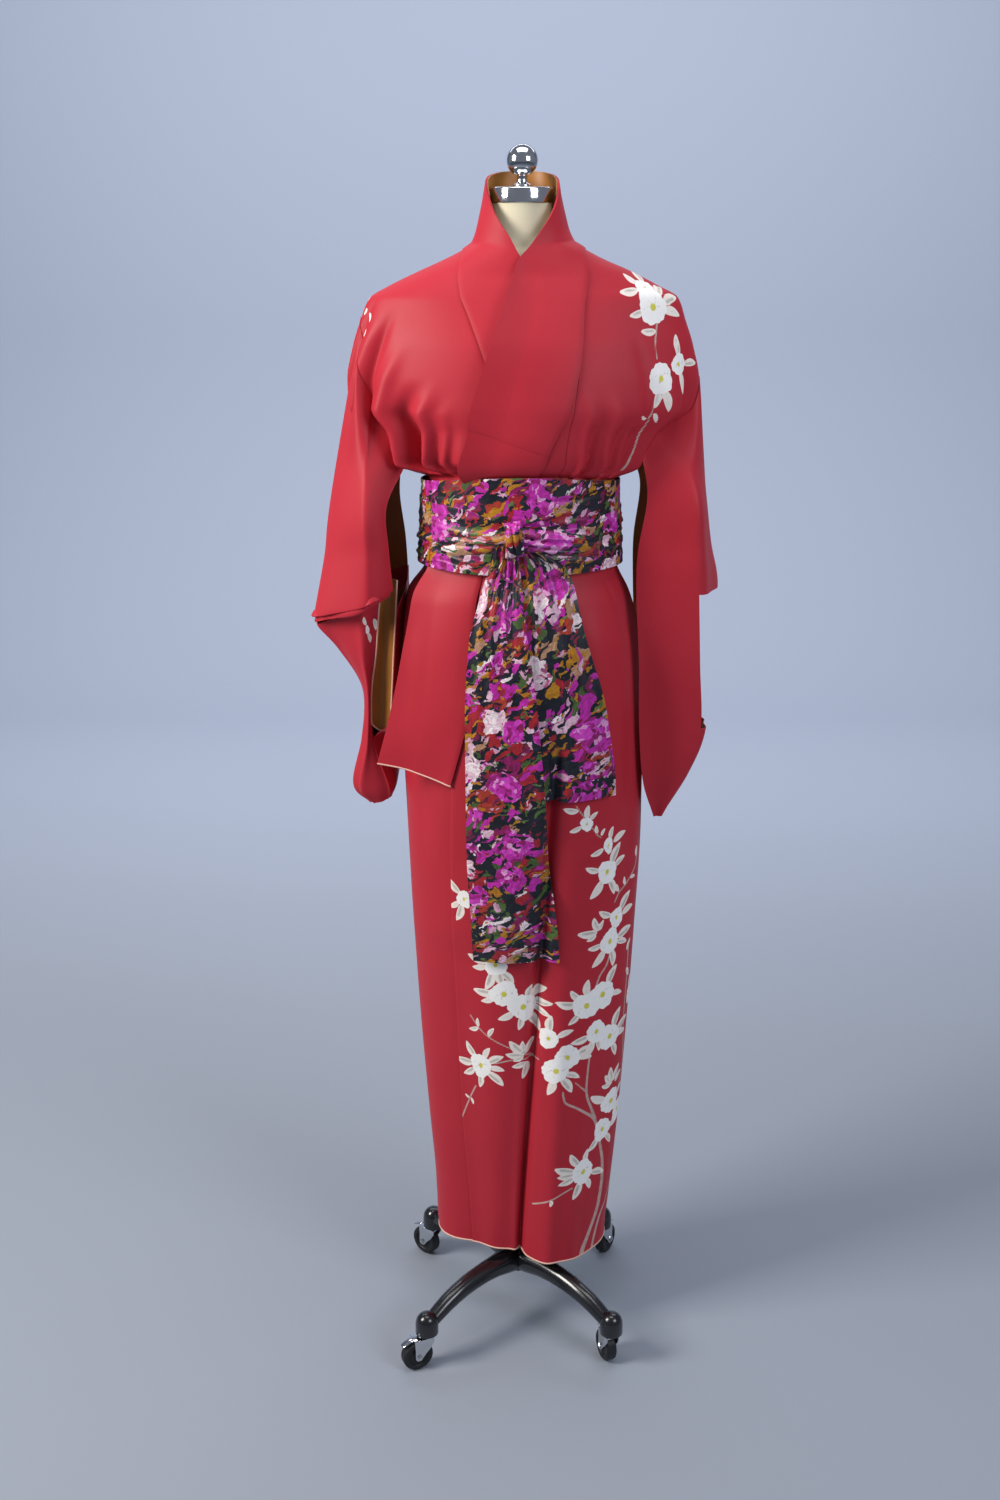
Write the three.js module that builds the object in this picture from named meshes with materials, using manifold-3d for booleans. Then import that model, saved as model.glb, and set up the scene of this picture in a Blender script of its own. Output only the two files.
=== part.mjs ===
// A full-length kimono with a soft wrapped sash, worn on a limbless dress form on a caster base.
// Millimetres, +Z up, the front of the robe towards -Y, the wearer's left towards +X.
import * as THREE from "three";
import Module from "manifold-3d";
import { mergeVertices } from "three/addons/utils/BufferGeometryUtils.js";

const wasm = await Module();
wasm.setup();

// Driving dimensions
const WALL = 1.3; // cloth wall, shell and lining together
const GAP = 0.3; // between cloth pieces at a seam and between layers
const LAYER = WALL + GAP;
const EASE = 1.8; // extra room for what lies over a curved panel
const COLLAR_OUT = 4.3; // from the robe to the outside of the collar
const SKIRT_SWING = 3; // how far the left front swings out below the sash
const UNDER_DROP = 11; // how far the covered part of the right front hangs behind it
const HEM = 137; // height of the hem above the floor
const NECK = 1640; // height of the neckline at the back
const SEAM_TOP = 1436; // top of the sleeve seam, out on the upper arm
const BELT_BOTTOM = 1219;
const BELT_TOP = 1334; // at the sides, under the bloused cloth
const BELT_RISE = 16; // how much higher the sash sits in front
const FRONT_LAYERS = 2 * (LAYER + EASE); // the left front lies over the right front and its collar
const AXIS_Y = -30; // the pole stands this far in front of the neck
const BASE_HALF = 140; // half the side of the square that the casters make
const FORM_SIDES = 24;
const WHEEL_R = 24;
const WHEEL_WIDTH = 17;
const TRAIL = 17; // from a caster's swivel axis back to its axle

const degrees = THREE.MathUtils.degToRad;
const lerp = THREE.MathUtils.lerp;
const smoothstep = THREE.MathUtils.smoothstep;
const span = (first, last, steps) =>
  Array.from({ length: steps + 1 }, (_, i) => lerp(first, last, i / steps));

const cloth = { color: 0xbf3b48, roughness: 0.62, metalness: 0 };
const underCloth = { color: 0xb23542, roughness: 0.62, metalness: 0 };
const goldLining = { color: 0x94642a, roughness: 0.6, metalness: 0 };
const paleEdging = { color: 0xe6b8a6, roughness: 0.6, metalness: 0 };
const printedSilk = { color: 0x5b2f57, roughness: 0.5, metalness: 0 };
const jersey = { color: 0xe2dabb, roughness: 0.85, metalness: 0 };
const enamel = { color: 0x0e1014, roughness: 0.25, metalness: 0.1 };
const chrome = { color: 0xc8cacd, roughness: 0.12, metalness: 1 };
const rubber = { color: 0x15161a, roughness: 0.5, metalness: 0 };

// Horizontal sections of the robe: half widths to the wearer's right and left, depth to the front
// and back, and pinch, which draws the front and back together towards the sides.
const sections = [
  { z: 137, right: 128, left: 132, front: 100, back: 98, pinch: 0 },
  { z: 215, right: 130, left: 138, front: 101, back: 101, pinch: 0 },
  { z: 335, right: 139, left: 148, front: 104, back: 106, pinch: 0 },
  { z: 510, right: 151, left: 159, front: 108, back: 112, pinch: 0 },
  { z: 676, right: 159, left: 167, front: 113, back: 118, pinch: 0 },
  { z: 836, right: 165, left: 173, front: 118, back: 124, pinch: 0 },
  { z: 1010, right: 170, left: 173, front: 121, back: 128, pinch: 0 },
  { z: 1100, right: 168, left: 168, front: 119, back: 122, pinch: 0 },
  { z: 1170, right: 160, left: 150, front: 113, back: 108, pinch: 0 },
  { z: 1219, right: 131, left: 129, front: 104, back: 89, pinch: 0 },
  { z: 1334, right: 127, left: 125, front: 104, back: 87, pinch: 0 },
  { z: 1341, right: 150, left: 138, front: 111, back: 92, pinch: 0.05 },
  { z: 1352, right: 181, left: 160, front: 117, back: 97, pinch: 0.14 },
  { z: 1368, right: 190, left: 170, front: 120, back: 99, pinch: 0.2 },
  { z: 1395, right: 204, left: 192, front: 121, back: 100, pinch: 0.3 },
  { z: 1430, right: 236, left: 233, front: 121, back: 100, pinch: 0.4 },
  { z: 1462, right: 236, left: 238, front: 118, back: 98, pinch: 0.42 },
  { z: 1508, right: 227, left: 229, front: 110, back: 93, pinch: 0.4 },
  { z: 1541, right: 216, left: 218, front: 99, back: 87, pinch: 0.36 },
  { z: 1570, right: 203, left: 207, front: 84, back: 79, pinch: 0.28 },
  { z: 1585, right: 178, left: 180, front: 76, back: 73, pinch: 0.2 },
  { z: 1603, right: 140, left: 144, front: 69, back: 66, pinch: 0.1 },
  { z: 1618, right: 106, left: 108, front: 65, back: 59, pinch: 0.05 },
  { z: 1630, right: 81, left: 84, front: 62, back: 54, pinch: 0 },
  { z: 1640, right: 64, left: 66, front: 60, back: 50, pinch: 0 },
  { z: 1672, right: 57, left: 58, front: 57, back: 48, pinch: 0 },
  { z: 1705, right: 51, left: 52, front: 52, back: 50, pinch: 0 },
  { z: 1732, right: 48, left: 49, front: 48, back: 53, pinch: 0 },
];

// Soft folds that the cloth hangs in. Angles run from the centre front (0) to the wearer's left (90)
// and right (-90), spread is the half width in degrees, and depth is outwards, so grooves are negative.
const folds = [
  { top: 900, bottom: 120, topAngle: 12, bottomAngle: 2, spread: 7, topDepth: -3, bottomDepth: -20 },
  { top: 700, bottom: 120, topAngle: -40, bottomAngle: -38, spread: 34, topDepth: -2, bottomDepth: -34 },
  { top: 1000, bottom: 120, topAngle: 40, bottomAngle: 34, spread: 14, topDepth: 2, bottomDepth: 7 },
  { top: 1180, bottom: 700, topAngle: 62, bottomAngle: 58, spread: 7, topDepth: -7, bottomDepth: -1 },
  { top: 1180, bottom: 800, topAngle: 38, bottomAngle: 34, spread: 8, topDepth: 4, bottomDepth: 1 },
  { top: 1180, bottom: 780, topAngle: -56, bottomAngle: -58, spread: 6, topDepth: -4, bottomDepth: -1 },
  { top: 1160, bottom: 120, topAngle: 128, bottomAngle: 132, spread: 9, topDepth: -5, bottomDepth: -8 },
  { top: 1150, bottom: 120, topAngle: 156, bottomAngle: 160, spread: 9, topDepth: 4, bottomDepth: 9 },
  { top: 1150, bottom: 120, topAngle: 205, bottomAngle: 203, spread: 10, topDepth: -4, bottomDepth: -9 },
  { top: 1160, bottom: 120, topAngle: 236, bottomAngle: 232, spread: 10, topDepth: 4, bottomDepth: 8 },
  { top: 1500, bottom: 1345, topAngle: 66, bottomAngle: 56, spread: 5, topDepth: -2, bottomDepth: -8 },
  { top: 1470, bottom: 1345, topAngle: 52, bottomAngle: 44, spread: 5, topDepth: 1, bottomDepth: 5 },
  { top: 1500, bottom: 1345, topAngle: 36, bottomAngle: 31, spread: 5, topDepth: -1, bottomDepth: -4 },
  { top: 1500, bottom: 1345, topAngle: -68, bottomAngle: -60, spread: 6, topDepth: -5, bottomDepth: -9 },
  { top: 1470, bottom: 1345, topAngle: -52, bottomAngle: -46, spread: 5, topDepth: 1, bottomDepth: 6 },
  { top: 1480, bottom: 1345, topAngle: -40, bottomAngle: -34, spread: 5, topDepth: -1, bottomDepth: -5 },
  { top: 1480, bottom: 1345, topAngle: 118, bottomAngle: 126, spread: 6, topDepth: -2, bottomDepth: -7 },
  { top: 1500, bottom: 1345, topAngle: 140, bottomAngle: 144, spread: 6, topDepth: 1, bottomDepth: 5 },
  { top: 1500, bottom: 1345, topAngle: 160, bottomAngle: 162, spread: 6, topDepth: -1, bottomDepth: -5 },
  { top: 1500, bottom: 1345, topAngle: 200, bottomAngle: 198, spread: 6, topDepth: -1, bottomDepth: -5 },
  { top: 1500, bottom: 1345, topAngle: 220, bottomAngle: 216, spread: 6, topDepth: 1, bottomDepth: 5 },
  { top: 1480, bottom: 1345, topAngle: 242, bottomAngle: 234, spread: 6, topDepth: -2, bottomDepth: -7 },
];

// A smooth curve through one column of a table, with no overshoot between its rows.
function curveThrough(rows, key, along = "z") {
  const at = rows.map((row) => row[along]);
  const value = rows.map((row) => row[key]);
  const slope = at.map((_, i) => {
    if (i === 0 || i === at.length - 1) return 0;
    const before = (value[i] - value[i - 1]) / (at[i] - at[i - 1]);
    const after = (value[i + 1] - value[i]) / (at[i + 1] - at[i]);
    return before * after <= 0 ? 0 : (2 * before * after) / (before + after);
  });
  return (position) => {
    let i = 0;
    while (i < at.length - 2 && position > at[i + 1]) i += 1;
    const step = at[i + 1] - at[i];
    const t = THREE.MathUtils.clamp((position - at[i]) / step, 0, 1);
    const [t2, t3] = [t * t, t * t * t];
    return (
      (2 * t3 - 3 * t2 + 1) * value[i] +
      (t3 - 2 * t2 + t) * step * slope[i] +
      (3 * t2 - 2 * t3) * value[i + 1] +
      (t3 - t2) * step * slope[i + 1]
    );
  };
}

const halfRight = curveThrough(sections, "right");
const halfLeft = curveThrough(sections, "left");
const depthFront = curveThrough(sections, "front");
const depthBack = curveThrough(sections, "back");
const pinchAt = curveThrough(sections, "pinch");

function foldDepth(angle, z) {
  let depth = 0;
  for (const fold of folds) {
    if (z > fold.top || z < fold.bottom) continue;
    const t = (fold.top - z) / (fold.top - fold.bottom);
    const centre = lerp(fold.topAngle, fold.bottomAngle, t);
    const turn = THREE.MathUtils.euclideanModulo(angle - centre + 180, 360) - 180;
    const end = smoothstep(z, fold.bottom, fold.bottom + 14) * (1 - smoothstep(z, fold.top - 60, fold.top));
    depth += lerp(fold.topDepth, fold.bottomDepth, t) * end * Math.exp(-((turn / fold.spread) ** 2));
  }
  return depth;
}

// The base surface of the robe, folded or smooth. The cloth over the sash edge rides higher in front.
function robe(angle, z, folded = true) {
  const a = degrees(angle);
  const toFront = Math.max(Math.cos(a), 0) ** 2;
  const overSash = smoothstep(z, 1250, 1330) * (1 - smoothstep(z, 1370, 1450));
  const level = z - BELT_RISE * toFront * overSash;
  const wide = Math.sin(a) < 0 ? halfRight(level) : halfLeft(level);
  const deep = Math.cos(a) > 0 ? depthFront(level) : depthBack(level);
  const pinch = 1 - pinchAt(level) * Math.sin(a) ** 2;
  const outward = new THREE.Vector2(Math.sin(a) / wide, -Math.cos(a) / deep).normalize();
  const fold = folded ? foldDepth(angle, z) : 0;
  return new THREE.Vector3(
    wide * Math.sin(a) + outward.x * fold,
    -deep * Math.cos(a) * pinch + outward.y * fold,
    z,
  );
}

// A point on the robe, moved out along the normal of the smooth surface, so that layers nest in folds.
function robePoint(angle, z, out) {
  const around = robe(angle + 0.5, z, false).sub(robe(angle - 0.5, z, false));
  const upward = robe(angle, z + 1, false).sub(robe(angle, z - 1, false));
  return robe(angle, z).addScaledVector(around.cross(upward).normalize(), out);
}

// The angle at which the front of the robe has this x, at this height.
function angleAt(x, z) {
  const wide = x < 0 ? halfRight(z) : halfLeft(z);
  return THREE.MathUtils.radToDeg(Math.asin(THREE.MathUtils.clamp(x / wide, -1, 1)));
}

// How far the left front and what lies on it stand off the base surface.
const inFront = (angle) => 1 - smoothstep(Math.abs(angle), 62, 112);
const frontOut = (angle) => FRONT_LAYERS * inFront(angle);
// Below the sash the left front also swings clear of the right one.
const leftFrontOut = (angle, z) =>
  frontOut(angle) + SKIRT_SWING * inFront(angle) * (1 - smoothstep(z, 650, 1150));
const rightFrontOut = (angle, z) =>
  -UNDER_DROP * smoothstep(angle, -34, -16) * inFront(angle) * (1 - smoothstep(z, 750, 1180));

const root = new THREE.Group();
const part = new THREE.Group();
root.add(part);

function addMesh(name, geometry, look, parent = part) {
  const mesh = new THREE.Mesh(geometry, new THREE.MeshStandardMaterial(look));
  mesh.name = name;
  parent.add(mesh);
  return mesh;
}

// A closed wall between two grids of points. keep(i, j) says which cells are cloth, and around joins
// the last column to the first.
function wallGeometry(outer, inner, { keep = () => true, around = false } = {}) {
  const rows = outer.length - 1;
  const columns = around ? outer[0].length : outer[0].length - 1;
  const width = outer[0].length;
  const offset = outer.length * width;
  const positions = [...outer.flat(), ...inner.flat()].flatMap((p) => [p.x, p.y, p.z]);
  const at = (i, j) => i * width + (j % width);
  const isCloth = (i, j) => {
    const column = around ? (j + columns) % columns : j;
    return i >= 0 && i < rows && column >= 0 && column < columns && keep(i, column);
  };
  const triangles = [];
  const quad = (a, b, c, d) => triangles.push(a, b, c, a, c, d);
  for (let i = 0; i < rows; i += 1) {
    for (let j = 0; j < columns; j += 1) {
      if (!isCloth(i, j)) continue;
      const [a, b, c, d] = [at(i, j), at(i, j + 1), at(i + 1, j + 1), at(i + 1, j)];
      quad(a, b, c, d);
      quad(offset + a, offset + d, offset + c, offset + b);
      if (!isCloth(i - 1, j)) quad(b, a, offset + a, offset + b);
      if (!isCloth(i + 1, j)) quad(d, c, offset + c, offset + d);
      if (!isCloth(i, j - 1)) quad(a, d, offset + d, offset + a);
      if (!isCloth(i, j + 1)) quad(c, b, offset + b, offset + c);
    }
  }
  const corner = triangles.map((k) => new THREE.Vector3(...positions.slice(3 * k, 3 * k + 3)));
  let volume = 0;
  for (let k = 0; k < corner.length; k += 3) {
    volume += corner[k].dot(corner[k + 1].clone().cross(corner[k + 2]));
  }
  if (volume < 0) triangles.reverse();
  const geometry = new THREE.BufferGeometry();
  geometry.setAttribute("position", new THREE.Float32BufferAttribute(positions, 3));
  geometry.setIndex(triangles);
  const used = mergeVertices(geometry.toNonIndexed(), 1e-4);
  used.computeVertexNormals();
  return used;
}

// A cloth panel on the robe between two edges, each a function from height to angle.
function panel(name, look, { heights, columns, from, to, out, wall = WALL }) {
  const grid = (depth) =>
    heights.map((z) =>
      Array.from({ length: columns + 1 }, (_, j) => {
        const angle = lerp(from(z), to(z), j / columns);
        return robePoint(angle, z, out(angle, z) - depth);
      }),
    );
  return addMesh(name, wallGeometry(grid(0), grid(wall)), look);
}

// Heights of the rows in a panel, closer where the cloth turns
const skirtHeights = [HEM, 215, 320, 440, 560, 690, 820, 930, 1020, 1090, 1140, 1180, 1212];
const waistHeights = [1275, 1334, 1344, 1354, 1366];
const bodiceHeights = [1382, 1400, 1420, 1440, 1475, 1515, 1545, 1568, 1582, 1594, 1606, 1618, 1629]
  .concat([NECK]);
const bodyHeights = [...skirtHeights, ...waistHeights, ...bodiceHeights];

// Front edges of the panels, as x at each height
const leftBodyEdge = curveThrough(
  [
    { z: HEM, x: 5 },
    { z: 587, x: 29 },
    { z: 897, x: 38 },
    { z: 1228, x: 50 },
    { z: 1356, x: 57 },
    { z: 1495, x: 74 },
    { z: 1571, x: 80 },
    { z: 1600, x: 79 },
    { z: 1618, x: 76 },
    { z: 1630, x: 71 },
    { z: NECK, x: 66 },
  ],
  "x",
);
const leftOkumiEdge = curveThrough(
  [
    { z: HEM, x: -90 },
    { z: 391, x: -97 },
    { z: 740, x: -98 },
    { z: 918, x: -94 },
    { z: 1040, x: -68 },
    { z: 1228, x: -50 },
    { z: 1356, x: 27 },
    { z: 1490, x: 70 },
  ],
  "x",
);
const rightBodyEdge = curveThrough(
  [
    { z: HEM, x: 22 },
    { z: 1228, x: 30 },
    { z: 1356, x: 34 },
    { z: 1400, x: 8 },
    { z: 1440, x: -16 },
    { z: 1495, x: -49 },
    { z: 1532, x: -62 },
    { z: 1577, x: -75 },
    { z: 1600, x: -78 },
    { z: 1618, x: -76 },
    { z: 1630, x: -69 },
    { z: NECK, x: -64 },
  ],
  "x",
);
const seamAngle = (z) => THREE.MathUtils.radToDeg((2 * GAP) / depthFront(z));

function makeBodies() {
  panel("body_left", cloth, {
    heights: bodyHeights,
    columns: 16,
    from: (z) => angleAt(leftBodyEdge(z), z),
    to: (z) => 180 - seamAngle(z),
    out: leftFrontOut,
  });
  panel("body_right", cloth, {
    heights: bodyHeights,
    columns: 16,
    from: (z) => angleAt(rightBodyEdge(z), z),
    to: (z) => -180 + seamAngle(z),
    out: rightFrontOut,
  });
}

function makeOkumi() {
  panel("okumi_left", cloth, {
    heights: [...skirtHeights, ...waistHeights, ...bodiceHeights.slice(0, 5)],
    columns: 6,
    from: (z) => angleAt(leftOkumiEdge(z), z),
    to: (z) => angleAt(leftBodyEdge(z), z) - 2 * seamAngle(z),
    out: leftFrontOut,
  });
  panel("okumi_right", underCloth, {
    heights: [...skirtHeights, ...waistHeights.slice(0, 2)],
    columns: 4,
    from: (z) => angleAt(rightBodyEdge(z), z) + 2 * seamAngle(z),
    to: (z) => angleAt(lerp(86, 74, (z - HEM) / 1100), z),
    out: rightFrontOut,
  });
}

// The turned lining that edges the hem, in line with the walls above it
function makeHemEdges() {
  const heights = [HEM - 4, HEM - GAP];
  panel("hem_edge_left", paleEdging, {
    heights,
    columns: 26,
    from: () => angleAt(leftOkumiEdge(HEM), HEM),
    to: () => 180 - seamAngle(HEM),
    out: leftFrontOut,
  });
  panel("hem_edge_right", paleEdging, {
    heights,
    columns: 24,
    from: () => angleAt(86, HEM),
    to: () => -180 + seamAngle(HEM),
    out: rightFrontOut,
  });
}

// The collar is one long band, opened out to its full width. Each row is a line across it, from the
// edge sewn to the robe to the free edge, and flare is how far the free edge stands off the robe.
const collarBack = [
  { sewn: 180, sewnZ: 1636, free: 180, freeZ: 1731, flare: 0 },
  { sewn: 150, sewnZ: 1636, free: 150, freeZ: 1730, flare: 0 },
  { sewn: 120, sewnZ: 1635, free: 120, freeZ: 1726, flare: 0 },
  { sewn: 98, sewnZ: 1634, free: 98, freeZ: 1721, flare: 0 },
  { sewn: 80, sewnZ: 1631, free: 76, freeZ: 1713, flare: 0 },
  { sewn: 63, sewnZ: 1627, free: 52, freeZ: 1697, flare: 0 },
  { sewn: 46, sewnZ: 1615, free: 28, freeZ: 1671, flare: 0 },
  { sewn: 33, sewnZ: 1597, free: 10, freeZ: 1645, flare: 0 },
];
const collarOver = [
  { sewnX: 80, sewnZ: 1568, freeX: -5, freeZ: 1618, flare: 0 },
  { sewnX: 78, sewnZ: 1537, freeX: -18, freeZ: 1578, flare: 0 },
  { sewnX: 75, sewnZ: 1500, freeX: -36, freeZ: 1525, flare: 0 },
  { sewnX: 66, sewnZ: 1455, freeX: -53, freeZ: 1470, flare: 0 },
  { sewnX: 48, sewnZ: 1405, freeX: -69, freeZ: 1413, flare: 0 },
  { sewnX: 29, sewnZ: 1362, freeX: -86, freeZ: 1360, flare: 0 },
  { sewnX: 21, sewnZ: 1346, freeX: -89, freeZ: 1342, flare: 0 },
  { sewnX: -10, sewnZ: 1290, freeX: -103, freeZ: 1290, flare: 0 },
  { sewnX: -50, sewnZ: 1226, freeX: -113, freeZ: 1226, flare: 0 },
  { sewnX: -60, sewnZ: 1168, freeX: -134, freeZ: 1165, flare: 7 },
  { sewnX: -63, sewnZ: 1104, freeX: -142, freeZ: 1094, flare: 17 },
  { sewnX: -68, sewnZ: 1030, freeX: -148, freeZ: 1022, flare: 26 },
  { sewnX: -93, sewnZ: 918, freeX: -151, freeZ: 946, flare: 44 },
];
const collarUnder = [
  { sewnX: -79, sewnZ: 1572, freeX: 5, freeZ: 1612, flare: 0 },
  { sewnX: -62, sewnZ: 1532, freeX: 22, freeZ: 1574, flare: 0 },
  { sewnX: -47, sewnZ: 1492, freeX: 38, freeZ: 1528, flare: 0 },
  { sewnX: -18, sewnZ: 1443, freeX: 54, freeZ: 1480, flare: 0 },
  { sewnX: 8, sewnZ: 1402, freeX: 60, freeZ: 1434, flare: 0 },
  { sewnX: 22, sewnZ: 1380, freeX: 60, freeZ: 1396, flare: 0 },
];
const withAngles = (row) => ({
  ...row,
  sewn: angleAt(row.sewnX, row.sewnZ),
  free: angleAt(row.freeX, row.freeZ),
});
const mirrored = (row) => ({ ...row, sewn: -row.sewn, free: -row.free });
const collarRows = [
  ...collarUnder.map(withAngles).reverse(),
  ...collarBack.slice(1).map(mirrored).reverse(),
  ...collarBack.map((row) => ({ ...row })),
  ...collarOver.map(withAngles),
];
const underRows = collarUnder.length + collarBack.length - 1; // rows before the centre back

// How far the collar stands off the robe: on top of the left front it is a stack of layers higher.
function collarOut(row, angle) {
  const overside = smoothstep(row, underRows, underRows + 5);
  return COLLAR_OUT + overside * frontOut(angle);
}

function collarPoint(row, t, extra) {
  const lower = Math.min(Math.floor(row), collarRows.length - 2);
  const between = row - lower;
  const [a, b] = [collarRows[lower], collarRows[lower + 1]];
  const turn = (key) => {
    const step = THREE.MathUtils.euclideanModulo(b[key] - a[key] + 180, 360) - 180;
    return a[key] + step * between;
  };
  const [sewn, free] = [turn("sewn"), turn("free")];
  const across = THREE.MathUtils.euclideanModulo(free - sewn + 180, 360) - 180;
  const angle = sewn + across * t;
  const z = lerp(lerp(a.sewnZ, b.sewnZ, between), lerp(a.freeZ, b.freeZ, between), t);
  const flare = lerp(a.flare, b.flare, between) * lerp(0.08, 1, t * t);
  return robePoint(angle, z, collarOut(row, angle) + flare + extra);
}

// A strip of the collar, between two of its rows.
function collarStrip(name, look, { first, last, out, wall = WALL, across = span(0, 1, 5) }) {
  // Half rows are added round the back of the neck, where the band bends most.
  const rows = span(first, last, 2 * (last - first)).filter(
    (row) => Number.isInteger(row) || Math.abs(row - underRows) < 8,
  );
  const grid = (extra) => rows.map((row) => across.map((t) => collarPoint(row, t, extra)));
  addMesh(name, wallGeometry(grid(out), grid(out - wall)), look);
}

function makeCollar() {
  const end = collarRows.length - 1;
  const crossSeam = end - 8;
  collarStrip("collar", cloth, { first: 0, last: end, out: 0 });
  collarStrip("over_collar", cloth, { first: 3, last: crossSeam, out: LAYER + EASE });
  collarStrip("collar_lining", goldLining, {
    first: underRows - 5,
    last: underRows + 5,
    out: -LAYER,
    wall: 1,
    across: [0.6, 0.8, 1],
  });
}

// Each sleeve hangs as a flattened tube that is open towards the body. Its columns run from the front
// inner edge over the top fold to the back inner edge, and its rows from the armhole seam down.
const armhole = [
  { angle: 66, z: 1362 },
  { angle: 76, z: 1404 },
  { angle: 90, z: SEAM_TOP },
  { angle: 104, z: 1404 },
  { angle: 114, z: 1362 },
];
const leftSleeve = [
  {
    front: [170, -58, 1312], frontFold: [236, -62, 1322], fold: [257, 4, 1312],
    backFold: [238, 44, 1312], back: [170, 66, 1312],
  },
  {
    front: [159, -62, 1240], frontFold: [243, -66, 1245], fold: [268, 12, 1240],
    backFold: [246, 48, 1240], back: [163, 68, 1240],
  },
  {
    front: [158, -63, 1184], frontFold: [247, -66, 1180], fold: [280, 20, 1172],
    backFold: [252, 46, 1174], back: [163, 68, 1184],
  },
  {
    front: [164, -63, 1085], frontFold: [252, -64, 1080], fold: [262, -8, 1080],
    backFold: [250, 42, 1080], back: [167, 66, 1085],
  },
  {
    front: [167, -61, 990], frontFold: [257, -58, 985], fold: [262, -10, 985],
    backFold: [250, 36, 985], back: [169, 60, 990],
  },
  {
    front: [175, -56, 906], frontFold: [238, -54, 916], fold: [241, -14, 916],
    backFold: [233, 28, 916], back: [177, 46, 906],
  },
  {
    front: [193, -46, 848], frontFold: [206, -44, 850], fold: [209, -18, 850],
    backFold: [205, 8, 850], back: [193, 12, 848],
  },
];
const rightSleeve = [
  {
    front: [184, -64, 1300], frontFold: [228, -74, 1306], fold: [264, -6, 1300],
    backFold: [240, 34, 1300], back: [171, 56, 1300],
  },
  {
    front: [178, -66, 1240], frontFold: [233, -78, 1232], fold: [276, -12, 1220],
    backFold: [250, 32, 1226], back: [164, 58, 1240],
  },
  {
    front: [174, -66, 1187], frontFold: [236, -76, 1164], fold: [291, -20, 1143],
    backFold: [262, 28, 1150], back: [161, 58, 1187],
  },
  {
    front: [197, -34, 1158], frontFold: [240, -38, 1142], fold: [286, -12, 1124],
    backFold: [258, 26, 1128], back: [160, 54, 1158],
  },
  {
    front: [203, -34, 1090], frontFold: [228, -42, 1090], fold: [256, -8, 1088],
    backFold: [232, 28, 1088], back: [163, 52, 1090],
  },
  {
    front: [211, -32, 1030], frontFold: [216, -38, 1030], fold: [225, -8, 1030],
    backFold: [212, 26, 1030], back: [167, 48, 1030],
  },
  {
    front: [210, -30, 958], frontFold: [219, -34, 958], fold: [226, -6, 958],
    backFold: [216, 22, 958], back: [173, 38, 958],
  },
  {
    front: [190, -30, 890], frontFold: [230, -32, 888], fold: [239, -8, 888],
    backFold: [228, 14, 888], back: [178, 22, 892],
  },
  {
    front: [192, -22, 866], frontFold: [212, -24, 860], fold: [217, -10, 860],
    backFold: [212, 4, 860], back: [190, 6, 866],
  },
];
const sleeveColumns = ["front", "frontFold", "fold", "backFold", "back"];

// A point of a sleeve: across 0 to 4 along its columns, down 0 to the last row of its table.
function sleevePoint(table, side, across, down) {
  const k = Math.min(Math.floor(across), sleeveColumns.length - 2);
  const t = across - k;
  const angle = lerp(armhole[k].angle, armhole[k + 1].angle, t);
  const z = lerp(armhole[k].z, armhole[k + 1].z, t);
  const seam = robePoint(side * angle, z, 2 * GAP + frontOut(angle) * (side > 0 ? 1 : 0));
  const paths = sleeveColumns.map((name) => new THREE.CatmullRomCurve3(
    table.map((row) => new THREE.Vector3(side * row[name][0], row[name][1], row[name][2])),
  ));
  const last = table.length;
  const at = (column) => {
    const path = paths[Math.min(Math.max(column, 0), paths.length - 1)];
    return path.getPoint(Math.max(down - 1, 0) / (last - 1));
  };
  const [before, start, end, after] = [at(k - 1), at(k), at(k + 1), at(k + 2)];
  const hanging = new THREE.Vector3();
  for (const axis of ["x", "y", "z"]) {
    const [m0, m1] = [(end[axis] - before[axis]) / 2, (after[axis] - start[axis]) / 2];
    hanging[axis] =
      (2 * t ** 3 - 3 * t ** 2 + 1) * start[axis] +
      (t ** 3 - 2 * t ** 2 + t) * m0 * 0.6 +
      (3 * t ** 2 - 2 * t ** 3) * end[axis] +
      (t ** 3 - t ** 2) * m1 * 0.6;
  }
  return down >= 1 ? hanging : seam.lerp(hanging, down);
}

// Normals of a grid of points, by the differences to its neighbours.
function gridNormals(grid) {
  const [rows, columns] = [grid.length, grid[0].length];
  return grid.map((row, i) =>
    row.map((_, j) => {
      const across = grid[i][Math.min(j + 1, columns - 1)].clone().sub(grid[i][Math.max(j - 1, 0)]);
      const down = grid[Math.min(i + 1, rows - 1)][j].clone().sub(grid[Math.max(i - 1, 0)][j]);
      return down.cross(across).normalize();
    }),
  );
}

function sleeve(name, look, { table, side, downs, acrosses, open, inset = 0, wall = WALL }) {
  const base = downs.map((down) => acrosses.map((across) => sleevePoint(table, side, across, down)));
  const normals = gridNormals(base);
  // The normals turn over on the mirrored side, so side also gives the way inwards.
  const grid = (depth) =>
    base.map((row, i) => row.map((p, j) => p.clone().addScaledVector(normals[i][j], side * depth)));
  addMesh(name, wallGeometry(grid(inset), grid(inset + wall), { keep: open }), look);
}

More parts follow.
